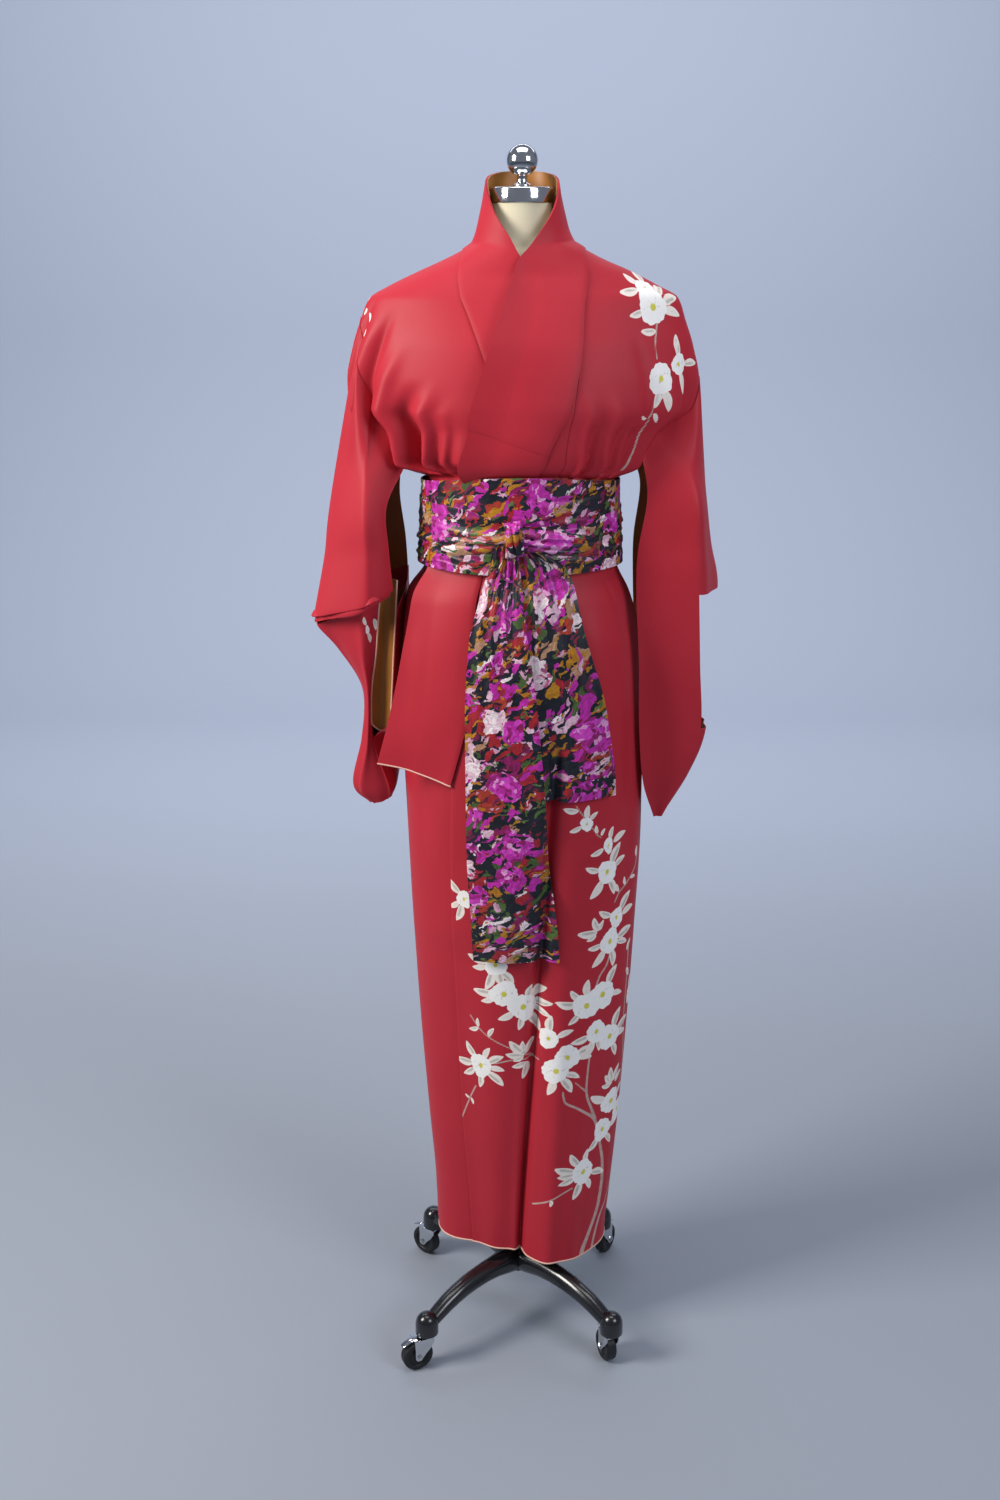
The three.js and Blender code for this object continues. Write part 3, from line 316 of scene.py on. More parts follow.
# Sizes in millimetres. The real crepe's crinkle is about 0.8 mm, the twill's 0.5 mm and the jersey's
# knit 1 mm. All three are drawn coarser, so that they can be baked.
CREPE_GRAIN = 2.4
TWILL_GRAIN = 2.0
JERSEY_GRAIN = 1.6
BRUSH_SIZE = 6.25  # unevenness of the painted dyes
BLOSSOM_SPACING = 54  # loose blossoms 4 to 5 cm across
BLOSSOM_RADIUS = 0.42  # as a share of the spacing
PETAL_SIZE = 6.5
HAIR_SIZE = 3.5  # streaks left by the brush
# The sash's strokes, each layer over the one before: size, stretch along and across, slant, and the
# inks by the cell's number from 0 to 1, where None leaves the layer below bare
STROKES = [
    (17, (1.7, 0.8, 1), 0.5, [
        (0.0, "#1B1E27"), (0.34, "#232631"), (0.47, "#A6242E"), (0.54, "#2B2630"), (0.59, "#B5771D"),
        (0.65, "#465C30"), (0.73, "#8E1B5E"), (0.8, "#B98B6A"), (0.86, "#A83A2A"), (0.92, "#C22CA5")]),
    (9.5, (2.0, 0.75, 1), 0.75, [
        (0.0, None), (0.56, "#1F222C"), (0.68, "#B97F1E"), (0.72, "#A6242E"), (0.77, "#4E6A33"),
        (0.81, "#E3B7CB"), (0.87, "#C22CA5"), (0.93, "#7A1F4B"), (0.97, "#F3E3E6")]),
    (5, (2.0, 0.7, 1), 0.3, [
        (0.0, None), (0.84, "#15171E"), (0.9, "#B97F1E"), (0.93, "#8C2438"), (0.96, "#D9A3BE"),
        (0.985, "#5D7A45")]),
]
# Its blossoms: which numbers have these inks, magenta or pinkish white, and the inks of the petals
BLOSSOM_INKS = [
    (0.0, 0.5, [(0.0, "#C22CA5"), (0.34, "#D645C0"), (0.55, "#A51F7C"), (0.7, "#EAA0D4"),
                (0.84, "#2A2430"), (0.92, "#8E1B5E")]),
    (0.8, 1.1, [(0.0, "#EBC6D2"), (0.3, "#E3B7CB"), (0.52, "#F8E6E8"), (0.76, "#C75C86"),
                (0.88, "#A2547A"), (0.95, "#343038")]),
]


def colour(hex_code, alpha=1.0):
    """An sRGB hex colour in linear light."""
    parts = [int(hex_code[i:i + 2], 16) / 255 for i in (1, 3, 5)]
    return [c / 12.92 if c <= 0.04045 else ((c + 0.055) / 1.055) ** 2.4 for c in parts] + [alpha]


def add(tree, kind, inputs=(), **settings):
    """Adds a shader node. inputs maps a socket's name or number to a value, or to the socket or the
    node that feeds it."""
    node = tree.nodes.new("ShaderNode" + kind)
    for name, value in settings.items():
        setattr(node, name, value)
    for name, value in dict(inputs).items():
        socket = node.inputs[name]
        if isinstance(value, bpy.types.Node):
            value = value.outputs[0]
        if isinstance(value, bpy.types.NodeSocket):
            tree.links.new(value, socket)
        else:
            socket.default_value = value
    return node


def new_material(name, **sockets):
    material = bpy.data.materials.new(name)
    material.use_nodes = True
    tree = material.node_tree
    tree.nodes.clear()
    inputs = {name.replace("_", " "): value for name, value in sockets.items()}
    shader = add(tree, "BsdfPrincipled", inputs)
    add(tree, "OutputMaterial", {"Surface": shader})
    return material, tree, shader


def silk_weave(tree, shader, grain_mm, strength):
    """A fine crinkled crepe, with slow differences in the roughness of the cloth."""
    place = add(tree, "TexCoord").outputs["Object"]
    grain = add(tree, "TexNoise",
                {"Vector": place, "Scale": 1000 / grain_mm, "Detail": 3.0, "Roughness": 0.6})
    bump = add(tree, "Bump", {"Height": grain, "Strength": strength, "Distance": 0.0004})
    tree.links.new(bump.outputs[0], shader.inputs["Normal"])
    slow = add(tree, "TexNoise", {"Vector": place, "Scale": 9.0, "Detail": 2.0})
    rough = shader.inputs["Roughness"]
    span = add(tree, "MapRange",
               {"Value": slow, "From Min": 0.3, "From Max": 0.7,
                "To Min": rough.default_value - 0.05, "To Max": rough.default_value + 0.05})
    tree.links.new(span.outputs[0], rough)
    return place, slow.outputs["Fac"]


def dyed_silk():
    # Silk crepe, resist dyed: one even red ground with a soft shine, and white flowers with crisp
    # edges that were painted leaf by leaf
    material, tree, shader = new_material(
        "silk crepe, resist dyed red", Roughness=0.52, Sheen_Weight=0.04, Sheen_Roughness=0.4,
        Sheen_Tint=colour("#E07A7A"), Specular_IOR_Level=0.22, IOR=1.5)
    place, slow = silk_weave(tree, shader, CREPE_GRAIN, 0.35)
    brush = add(tree, "TexNoise",
                {"Vector": place, "Scale": 1000 / BRUSH_SIZE, "Detail": 2.0}).outputs["Fac"]
    shown = add(tree, "Mix", {0: slow, 6: colour("#AF2533"), 7: colour("#BB2D3A")},
                data_type="RGBA").outputs[2]
    # each dye lies over the one before: where it is, how soft its edge is, and its two tints
    for attribute, soft_mm, dark, light in (
        ("twig", 0.35, "#9C7F7A", "#DDBDB1"),
        ("leaf", 0.35, "#EADCD0", "#FBF3EA"),
        ("leaf_core", 1.5, "#A8A49B", "#D6D1C6"),
        ("petal", 0.35, "#F6F3ED", "#FFFEFA"),
        ("petal_line", 1.0, "#BDBAB2", "#D6D3CB"),
        ("heart", 0.8, "#B9B52C", "#EFE468"),
    ):
        tint = add(tree, "Mix", {0: brush, 6: colour(dark), 7: colour(light)},
                   data_type="RGBA").outputs[2]
        field = add(tree, "Attribute", attribute_name=attribute).outputs["Fac"]
        there = add(tree, "MapRange",
                    {"Value": field, "From Min": -soft_mm, "From Max": soft_mm},
                    interpolation_type="SMOOTHSTEP").outputs[0]
        shown = add(tree, "Mix", {0: there, 6: shown, 7: tint}, data_type="RGBA").outputs[2]
    tree.links.new(shown, shader.inputs["Base Color"])
    return material


def plain_silk(name, dark, light, rough):
    material, tree, shader = new_material(name, Roughness=rough, Sheen_Weight=0.12,
                                          Sheen_Roughness=0.4, Specular_IOR_Level=0.35, IOR=1.5)
    _, slow = silk_weave(tree, shader, CREPE_GRAIN, 0.3)
    tint = add(tree, "Mix", {0: slow, 6: colour(dark), 7: colour(light)}, data_type="RGBA")
    tree.links.new(tint.outputs[2], shader.inputs["Base Color"])
    return material


def printed_silk():
    # Soft silk twill, printed with brush strokes and loose blossoms: bright inks with broken edges
    # on navy black, and a soft shine. The inks and their shares of the cloth are in the two tables.
    material, tree, shader = new_material(
        "silk twill, printed in bright inks", Roughness=0.42, Sheen_Weight=0.1, Sheen_Roughness=0.4,
        Specular_IOR_Level=0.35, IOR=1.5)
    silk_weave(tree, shader, TWILL_GRAIN, 0.25)
    at = add(tree, "UVMap", uv_map="cloth").outputs[0]
    for size_mm, by_mm in ((26, 7.0), (4.0, 1.5)):  # hand-drawn wavering, large and small
        noise = add(tree, "TexNoise", {"Vector": at, "Scale": 1000 / size_mm, "Detail": 2.0})
        moved = add(tree, "VectorMath",
                    {0: noise.outputs["Color"], 1: (by_mm * MM * 4,) * 3, 2: (-by_mm * MM * 2,) * 3},
                    operation="MULTIPLY_ADD")
        at = add(tree, "VectorMath", {0: at, 1: moved}, operation="ADD").outputs[0]
    layers = []  # number of each cell, inks for the numbers, and where the layer lies
    for size_mm, stretch, slant, inks in STROKES:
        turned = add(tree, "Mapping",
                     {"Vector": at, "Rotation": (0, 0, slant), "Scale": stretch}, vector_type="TEXTURE")
        cell = add(tree, "TexVoronoi", {"Vector": turned, "Scale": 1000 / size_mm})
        number = add(tree, "SeparateColor", {0: cell.outputs["Color"]}).outputs[0]
        layers.append((number, inks, None))
    bloom = add(tree, "TexVoronoi", {"Vector": at, "Scale": 1000 / BLOSSOM_SPACING})
    inside = add(tree, "Math", {0: bloom.outputs["Distance"], 1: BLOSSOM_RADIUS},
                 operation="LESS_THAN")
    bloom_number = add(tree, "SeparateColor", {0: bloom.outputs["Color"]}).outputs[0]
    petal = add(tree, "TexVoronoi", {"Vector": at, "Scale": 1000 / PETAL_SIZE})
    petal_number = add(tree, "SeparateColor", {0: petal.outputs["Color"]}).outputs[0]
    for low, high, inks in BLOSSOM_INKS:
        above = add(tree, "Math", {0: bloom_number, 1: low}, operation="GREATER_THAN")
        below = add(tree, "Math", {0: bloom_number, 1: high}, operation="LESS_THAN")
        both = add(tree, "Math", {0: above, 1: below}, operation="MULTIPLY")
        here = add(tree, "Math", {0: both, 1: inside}, operation="MULTIPLY")
        layers.append((petal_number, inks, here.outputs[0]))
    shown = (0, 0, 0, 1)
    for number, inks, where in layers:
        ink = add(tree, "ValToRGB", {0: number})
        points = ink.color_ramp.elements
        ink.color_ramp.interpolation = "CONSTANT"
        while len(points) < len(inks):
            points.new(0.5)
        for point, (start, hex_code) in zip(points, inks):
            point.position = start
            point.color = colour(hex_code or "#000000", 1.0 if hex_code else 0.0)
        shown = add(tree, "Mix",
                    {0: ink.outputs[1] if where is None else where, 6: shown, 7: ink},
                    data_type="RGBA").outputs[2]
    # brush hairs: fine streaks along the strokes, lighter and darker
    turned = add(tree, "Mapping",
                 {"Vector": at, "Rotation": (0, 0, 0.6), "Scale": (3.2, 0.6, 1)}, vector_type="TEXTURE")
    hairs = add(tree, "TexNoise", {"Vector": turned, "Scale": 1000 / HAIR_SIZE, "Detail": 3.0})
    light = add(tree, "MapRange",
                {"Value": hairs, "From Min": 0.35, "From Max": 0.65,
                 "To Min": 0.62, "To Max": 1.12})
    shown = add(tree, "VectorMath", {0: shown, 1: light}, operation="MULTIPLY")
    tree.links.new(shown.outputs[0], shader.inputs["Base Color"])
    return material


def metal(name, hex_code, rough, scratch):
    material, tree, shader = new_material(name, Metallic=1.0, Base_Color=colour(hex_code))
    place = add(tree, "TexCoord").outputs["Object"]
    wear = add(tree, "TexNoise", {"Vector": place, "Scale": 120.0, "Detail": 4.0})
    span = add(tree, "MapRange",
               {"Value": wear, "From Min": 0.3, "From Max": 0.8,
                "To Min": rough, "To Max": rough + scratch})
    tree.links.new(span.outputs[0], shader.inputs["Roughness"])
    return material


def hard(name, hex_code, rough, grain_mm, strength, **sockets):
    material, tree, shader = new_material(name, **sockets)
    place = add(tree, "TexCoord").outputs["Object"]
    grain = add(tree, "TexNoise", {"Vector": place, "Scale": 1000 / grain_mm, "Detail": 3.0})
    bump = add(tree, "Bump", {"Height": grain, "Strength": strength, "Distance": 0.0003})
    tree.links.new(bump.outputs[0], shader.inputs["Normal"])
    slow = add(tree, "TexNoise", {"Vector": place, "Scale": 25.0, "Detail": 3.0})
    span = add(tree, "MapRange",
               {"Value": slow, "From Min": 0.3, "From Max": 0.7,
                "To Min": rough - 0.05, "To Max": rough + 0.07})
    tree.links.new(span.outputs[0], shader.inputs["Roughness"])
    dark = [c * 0.82 for c in colour(hex_code)[:3]] + [1]
    tint = add(tree, "Mix", {0: slow, 6: dark, 7: colour(hex_code)}, data_type="RGBA")
    tree.links.new(tint.outputs[2], shader.inputs["Base Color"])
    return material


RED_SILK = dyed_silk()
# Plain lining silk: a smooth golden brown with a soft shine
GOLD_SILK = plain_silk("lining silk, golden brown", "#8A5220", "#B07A35", 0.42)
# The same lining silk in pinkish cream, turned out: a thin pale line along hem and edges
PALE_SILK = plain_silk("lining silk, pinkish cream", "#E0AC9A", "#EFC4B2", 0.5)
PRINTED_SILK = printed_silk()
# Cotton jersey pulled tight over the form: matt cream with a fine knitted grain
JERSEY = hard("cotton jersey, cream", "#E6DDBF", 0.85, JERSEY_GRAIN, 0.5, Specular_IOR_Level=0.2,
              Sheen_Weight=0.2)
# Nickel and chrome plate, polished: sharp bright and dark reflections, faintly worn
CHROME = metal("chrome plate, polished", "#D4D6D9", 0.06, 0.1)
# Cast iron under thick stoved enamel: deep black, a little uneven, with soft round highlights
ENAMEL = hard("stoved enamel, black", "#0F1115", 0.24, 6.0, 0.15, IOR=1.5, Coat_Weight=0.5,
              Coat_Roughness=0.12)
# Moulded rubber tread: dull black and slightly rough
RUBBER = hard("moulded rubber, black", "#141519", 0.5, 1.5, 0.3, IOR=1.5)
# Of a sheet: its outside, its inside and its edges
SILK = (RED_SILK, GOLD_SILK, RED_SILK)
PRINT = (PRINTED_SILK,) * 3


# ---------------------------------------------------------------- the dyed pattern

# Sprays on the left front, drawn as on the flat cloth. Flowers: x and height of the middle, radius,
# turn in degrees, how open it is (1 faces forwards), and the directions of the leaves behind it.
BLOOMS = [
    (-79, 744, 12, 15, 0.8, (130, 215, 250)),
    (-35, 645, 16, 40, 0.85, (165, 195, 250, 310)),
    (-23, 597, 18, 10, 1, (178, 205, 100)),
    (5, 575, 18.5, 50, 1, (70, 45, 10, -20, -60, -100, -150)),
    (-60, 469, 17, 25, 0.9, (125, 65, 178, 215, 265, -40, -5, 30)),
    (41, 525, 14, 0, 0.8, (85, 20)),
    (66, 493, 17, 35, 1, (15, -10)),
    (51, 472, 17, 5, 1, (-60, -105, -25)),
    (92, 574, 18, 20, 1, (130, 88, 165, -135)),
    (115, 585, 19, 50, 1, (60, -15)),
    (107, 526, 15, 30, 1, (195, -115, -80)),
    (127, 509, 17, 0, 1, (65, -10, -70, 20)),
    (124, 669, 17, 10, 0.8, (185, -130, -80, -20, 10)),
    (133, 704, 14, 45, 0.7, (50, 10, 150)),
    (118, 782, 16, 20, 0.8, (160, -125, -70, 25, 60)),
    (119, 823, 11, 50, 0.6, (200, 20, 75)),
    (88, 862, 9, 0, 0.9, (200, 85, 45)),
    (131, 393, 17, 10, 1, (20, 150)),
    (143, 366, 16, 40, 1, (-30, 30)),
    (119, 350, 16, 60, 0.9, (-130, 0, -60)),
    (91, 288, 18, 30, 0.9, (120, 80, 160, 180, 200, -110, -70, -25)),
    (157, 557, 12, 0, 0.8, (90, -60)),
    (160, 1581, 14, 20, 0.8, (180, 130, 80)),
    (170, 1560, 19, 0, 1, (15, -15, 195, 50)),
    (180, 1470, 18, 40, 0.8, (-105, -75)),
    (206, 1486, 12, 10, 0.9, (85, -80, 0)),
]
# Leaves on twigs: x and height of the stalk, direction in degrees, length
LEAVES = [
    (-206, 1558, 250, 11), (-204, 1552, 290, 14), (-205, 1566, 100, 9), (-209, 1532, 270, 12),
    (8, 494, 135, 34), (8, 496, 100, 22), (10, 496, 60, 26), (6, 492, 175, 28), (6, 490, 205, 18),
    (12, 480, -105, 30), (10, 480, -160, 24), (-62, 534, 200, 19), (-62, 536, 95, 15),
    (-47, 522, 60, 19), (-82, 404, 150, 11), (-80, 406, -70, 13), (46, 250, -100, 13),
    (146, 750, 100, 15), (136, 744, 110, 15), (153, 758, -10, 15), (162, 786, 90, 18),
    (77, 883, 165, 23), (132, 425, 130, 25), (132, 428, 100, 27), (134, 428, 60, 27),
    (136, 424, 30, 23), (130, 422, 165, 20), (105, 690, 175, 31), (107, 692, 110, 25),
    (109, 692, 70, 17), (104, 686, 205, 17), (150, 640, 60, 20), (150, 610, -60, 20),
    (174, 1530, 178, 25), (172, 1428, -60, 17), (166, 1420, 150, 12), (206, 1500, 95, 26),
    (86, 872, 60, 12), (103, 845, 100, 14), (108, 840, 60, 13),
]
# Branches and twigs: width at the start and at the end, then x and height of each point
TWIGS = [
    (8, 5, (86, 128), (98, 160), (110, 194), (115, 213), (120, 256), (120, 294), (116, 325)),
    (5, 3, (105, 127), (110, 159), (118, 196), (130, 220), (138, 240)),
    (5, 3, (116, 325), (108, 375), (82, 403), (63, 416), (60, 436)),
    (4.4, 3, (108, 375), (95, 416), (93, 434), (96, 475), (99, 500)),
    (3, 2.6, (93, 429), (78, 448)),
    (3.4, 2.8, (103, 596), (110, 618), (120, 631), (126, 655)),
    (3, 2.6, (153, 650), (151, 580), (148, 522), (150, 427), (140, 400)),
    (2.6, 2.6, (-75, 552), (-62, 534), (-48, 522), (-11, 503), (24, 486)),
    (2.6, 2.6, (-39, 477), (-11, 485), (29, 486)),
    (2.6, 2.6, (-70, 430), (-82, 404), (-97, 365)),
    (2.6, 2.6, (21, 234), (46, 250), (75, 265)),
    (2.6, 2.6, (73, 892), (78, 883), (86, 871)),
    (2.6, 2.6, (96, 855), (103, 842), (108, 838)),
    (2.6, 2.6, (130, 730), (136, 743), (146, 750), (153, 759), (161, 772), (163, 794)),
    (3, 2.8, (176, 1547), (174, 1529), (172, 1512), (175, 1495)),
    (3, 3.4, (173, 1445), (168, 1426), (157, 1401), (149, 1377), (139, 1353)),
]
LAYERS = ("twig", "leaf", "leaf_core", "petal", "petal_line", "heart")


def undyed(shape):
    return {layer: np.full(shape, UNDYED) for layer in LAYERS}


def raise_to(fields, layer, here, value):
    fields[layer][here] = np.maximum(fields[layer][here], value)


def dye_bloom(fields, right, up, radius, turn, openness):
    """right and up are millimetres on the flat cloth from the middle of the flower."""
    here = np.hypot(right, up) < radius * 1.4
    u, v = right[here] / openness, up[here]
    petals = 6 if radius > 13 else 5
    edge = np.full(u.shape, UNDYED)
    top_edge = np.full(u.shape, UNDYED)
    for k in range(petals):
        way = math.radians(turn + 360 * k / petals)
        size = radius * (1 + 0.1 * math.sin(3.7 * k + turn))
        along = u * math.cos(way) + v * math.sin(way)
        across = v * math.cos(way) - u * math.sin(way)
        inside = 1 - np.hypot((along - 0.5 * size) / (0.54 * size), across / (0.5 * size))
        notch = 0.2 * np.exp(-((across / (0.14 * size)) ** 2)) * smooth(along, 0.7 * size, size)
        own = (inside - notch) * 0.48 * size
        edge = np.maximum(edge, own)
        top_edge = np.where(own > 0, own, top_edge)
    raise_to(fields, "petal", here, edge)
    covers = edge > 0
    line = np.where(covers & (edge > top_edge + 0.8), 1.0 - top_edge, UNDYED)
    kept = fields["petal_line"][here]
    fields["petal_line"][here] = np.where(covers, line, kept)
    middle = 0.22 * radius - np.hypot(u * 1.15, v)
    kept = fields["heart"][here]
    fields["heart"][here] = np.where(covers, np.maximum(middle, UNDYED), kept)


def dye_leaf(fields, right, up, direction, length, shaded=True):
    here = np.hypot(right, up) < length * 1.3
    way = math.radians(direction)
    along = (right[here] * math.cos(way) + up[here] * math.sin(way)) / length
    across = up[here] * math.cos(way) - right[here] * math.sin(way)
    across = across - 0.07 * length * np.sin(np.pi * np.clip(along, 0, 1))
    t = np.clip(along, 0, 1)
    half = 0.215 * length * t**0.65 * (1 - t) ** 0.85 / 0.385
    beyond = np.maximum(-along, along - 1) * length
    edge = np.where(beyond > 0, -np.hypot(beyond, across), half - np.abs(across))
    raise_to(fields, "leaf", here, edge)
    if shaded:
        core = np.minimum(0.4 * half - np.abs(across + 0.3 * half), (0.75 - along) * length)
    else:
        core = 0.5 - np.abs(across) - 20 * (along > 0.8)  # only the midrib
    kept = fields["leaf_core"][here]
    fields["leaf_core"][here] = np.where(edge > 0, core - 0.4, kept)


def dye_twig(fields, cloth, points, width, end_width):
    """A twig along points on the cloth, tapering from width to end_width."""
    count = len(points) - 1
    for k in range(count):
        start, way = points[k], points[k + 1] - points[k]
        offset = cloth - start
        length = np.linalg.norm(way)
        here = np.abs(offset).max(-1) < length + 8
        t = np.clip(offset[here] @ way / length**2, 0, 1)
        away = np.linalg.norm(offset[here] - t[:, None] * way, axis=1)
        raise_to(fields, "twig", here, (width + (end_width - width) * (k + t) / count) / 2 - away)


def flat_place(angle, z):
    """A place on the cloth, and which way is right and up there."""
    centre = robe(angle, z, False)
    right = robe(angle + 0.5, z, False) - robe(angle - 0.5, z, False)
    right /= np.linalg.norm(right)
    up = robe(angle, z + 1, False) - robe(angle, z - 1, False)
    up -= right * np.dot(up, right)
    return centre, right, up / np.linalg.norm(up)


def dye_motif(fields, cloth, place, blooms=(), leaves=()):
    """Flowers and leaves round one place. Their x and y are millimetres right and up from it."""
    centre, right, up = place
    offset = cloth - centre
    near = (np.linalg.norm(offset, axis=-1) < 75) & (np.abs(offset @ np.cross(right, up)) < 14)
    if not near.any():
        return
    part = {layer: fields[layer][near] for layer in LAYERS}
    u, v = offset[near] @ right, offset[near] @ up
    for k, (x, y, direction, length) in enumerate(leaves):
        dye_leaf(part, u - x, v - y, direction, length, k % 5 != 1)
    for x, y, radius, turn, openness in blooms:
        dye_bloom(part, u - x, v - y, radius, turn, openness)
    for layer in LAYERS:
        fields[layer][near] = part[layer]


def dye_robe(angle, z, copies):
    """The pattern over points of the robe. Each copy is a turn in degrees, a rise and a side."""
    fields = undyed(angle.shape)
    base = robe(angle, z, False)
    level = z[:, 0]
    for turn, rise, side in copies:

        def wanted(x, height):
            return not turn or (x > 0 and (height < 1000 if side > 0 else height > 1400))

        def moved(x, height):
            return side * float(angle_at(x, height)) + turn, height + rise

        for width, end_width, *points in TWIGS:
            if not wanted(*points[0]):
                continue
            at = np.array([moved(*point) for point in points])
            fine = np.linspace(0, len(at) - 1, (len(at) - 1) * 6 + 1)
            bent = [np.interp(fine, np.arange(len(at)), at[:, c]) for c in (0, 1)]
            for _ in range(3):  # rounds the corners
                for line in bent:
                    line[1:-1] = (line[:-2] + 2 * line[1:-1] + line[2:]) / 4
            line = robe(bent[0], bent[1], False)
            low, high = np.searchsorted(level, (line[:, 2].min() - 12, line[:, 2].max() + 12))
            if low < high:
                near = {k: f[low:high] for k, f in fields.items()}
                dye_twig(near, base[low:high], line, width, end_width)
        for parts, kind in ((LEAVES, "leaf"), (BLOOMS, "leaves behind"), (BLOOMS, "bloom")):
            for x, height, *rest in parts:
                low, high = np.searchsorted(level, (height + rise - 50, height + rise + 50))
                if low >= high or not wanted(x, height):
                    continue
                centre, right, up = flat_place(*moved(x, height))
                blooms, leaves = [], []
                if kind == "leaf":
                    leaves = [(0, 0, *rest)]
                elif kind == "bloom":
                    blooms = [(0, 0, 1.2 * rest[0], *rest[1:3])]
                else:
                    radius, stalk = 1.12 * rest[0], 0.8 * rest[0]
                    leaves = [
                        (stalk * math.cos(math.radians(way)), stalk * math.sin(math.radians(way)), way,
                         (29 + 5 * math.sin(2.3 * k + x)) * min(1, radius / 15))
                        for k, way in enumerate(rest[3])]
                near = {k: f[low:high] for k, f in fields.items()}
                dye_motif(near, base[low:high], (centre, right * side, up), blooms, leaves)
    return fields


# ---------------------------------------------------------------- meshes

def to_frame(points):
    return (points + AXIS / MM) * MM


def grid_normals(grid, around=False):
    if around:
        across = np.roll(grid, -1, 1) - np.roll(grid, 1, 1)
    else:
        across = np.gradient(grid, axis=1)
    normal = np.cross(across, np.gradient(grid, axis=0))
    return normal / np.maximum(np.linalg.norm(normal, axis=-1, keepdims=True), 1e-9)


def ring_quads(rows, columns):
    """The cells of a grid whose columns close to a ring."""
    i, j = (m.ravel() for m in np.meshgrid(np.arange(rows - 1), np.arange(columns), indexing="ij"))
    beside = (j + 1) % columns
    corners = [i * columns + j, i * columns + beside, (i + 1) * columns + beside, (i + 1) * columns + j]
    return np.stack(corners, 1)


def make_object(name, vertices, faces, face_materials, materials, uv=None, fields=None):
    """A mesh object at the origin from arrays. faces is a list of arrays of corner indices."""
    mesh = bpy.data.meshes.new(name)
    mesh.vertices.add(len(vertices))
    mesh.vertices.foreach_set("co", to_frame(vertices).astype(np.float32).ravel())
    corners = np.concatenate([f.ravel() for f in faces]).astype(np.int32)
    sizes = np.concatenate([np.full(len(f), f.shape[1]) for f in faces])
    starts = np.concatenate([[0], np.cumsum(sizes)[:-1]]).astype(np.int32)
    mesh.loops.add(len(corners))
    mesh.loops.foreach_set("vertex_index", corners)
    mesh.polygons.add(len(sizes))
    mesh.polygons.foreach_set("loop_start", starts)
    mesh.polygons.foreach_set("material_index", np.asarray(face_materials, np.int32))
    for material in materials:
        mesh.materials.append(material)
    mesh.update(calc_edges=True)
    mesh.validate()
    mesh.polygons.foreach_set("use_smooth", np.ones(len(mesh.polygons), bool))
    mesh.set_sharp_from_angle(angle=math.radians(55))
    if uv is not None:
        layer = mesh.uv_layers.new(name="cloth")
        layer.data.foreach_set("uv", uv[corners].astype(np.float32).ravel())
    for attribute, values in (fields or {}).items():
        made = mesh.attributes.new(attribute, "FLOAT", "POINT")
        made.data.foreach_set("value", values.astype(np.float32).ravel())
    made_object = bpy.data.objects.new(name, mesh)
    bpy.context.scene.collection.objects.link(made_object)
    return made_object


def shell(name, outer, materials, thick=WALL, around=False, keep=None, uv=None, fields=None,
          centre=None, lined=None):
    """A closed wall behind a grid of points. materials are those of the outside, inside and edges.
    keep says which cells of the grid are cloth, and centre is what the outside faces away from.
    lined says which cells have the lining inside. Where it is left out, all have."""
    rows, columns = outer.shape[:2]
    normals = grid_normals(outer, around)
    middle = outer * np.array([0, 0, 1.0]) if centre is None else centre
    turned = np.sum(normals * (outer - middle)) < 0
    if turned:
        normals = -normals
    vertices = np.concatenate([outer.reshape(-1, 3), (outer - normals * thick).reshape(-1, 3)])
    if keep is None:
        keep = np.ones((rows - 1, columns if around else columns - 1), bool)
    i, j = np.nonzero(keep)
    at = lambda row, column: row * columns + column % columns
    inner = rows * columns
    corner = [at(i, j), at(i, j + 1), at(i + 1, j + 1), at(i + 1, j)]
    outside = np.stack(corner, 1)
    inside = np.stack(corner[::-1], 1) + inner
    rims = []
    wide = np.pad(keep, ((0, 0), (1, 1)), mode="wrap" if around else "constant")
    wide = np.pad(wide, ((1, 1), (0, 0)))
    for di, dj, a, b in ((-1, 0, 0, 1), (1, 0, 2, 3), (0, -1, 3, 0), (0, 1, 1, 2)):
        bare = ~wide[i + 1 + di, j + 1 + dj]
        first, second = corner[a][bare], corner[b][bare]
        rims.append(np.stack([second, first, first + inner, second + inner], 1))
    faces = [outside, inside, np.concatenate(rims)]
    if turned:
        faces = [f[:, ::-1] for f in faces]
    marks = np.concatenate([np.full(len(f), k) for k, f in enumerate(faces)])
    if lined is not None:
        marks[len(outside):len(outside) + len(inside)] = lined[i, j]
    # the points of cells that aren't cloth are left out
    used = np.zeros(len(vertices), bool)
    for f in faces:
        used[f] = True
    number = np.cumsum(used) - 1
    if uv is not None:
        uv = np.concatenate([uv.reshape(-1, 2)] * 2)[used]
    if fields:
        bare = np.full(inner, UNDYED)
        fields = {k: np.concatenate([v.ravel(), bare])[used] for k, v in fields.items()}
    return make_object(name, vertices[used], [number[f] for f in faces], marks, materials, uv, fields)


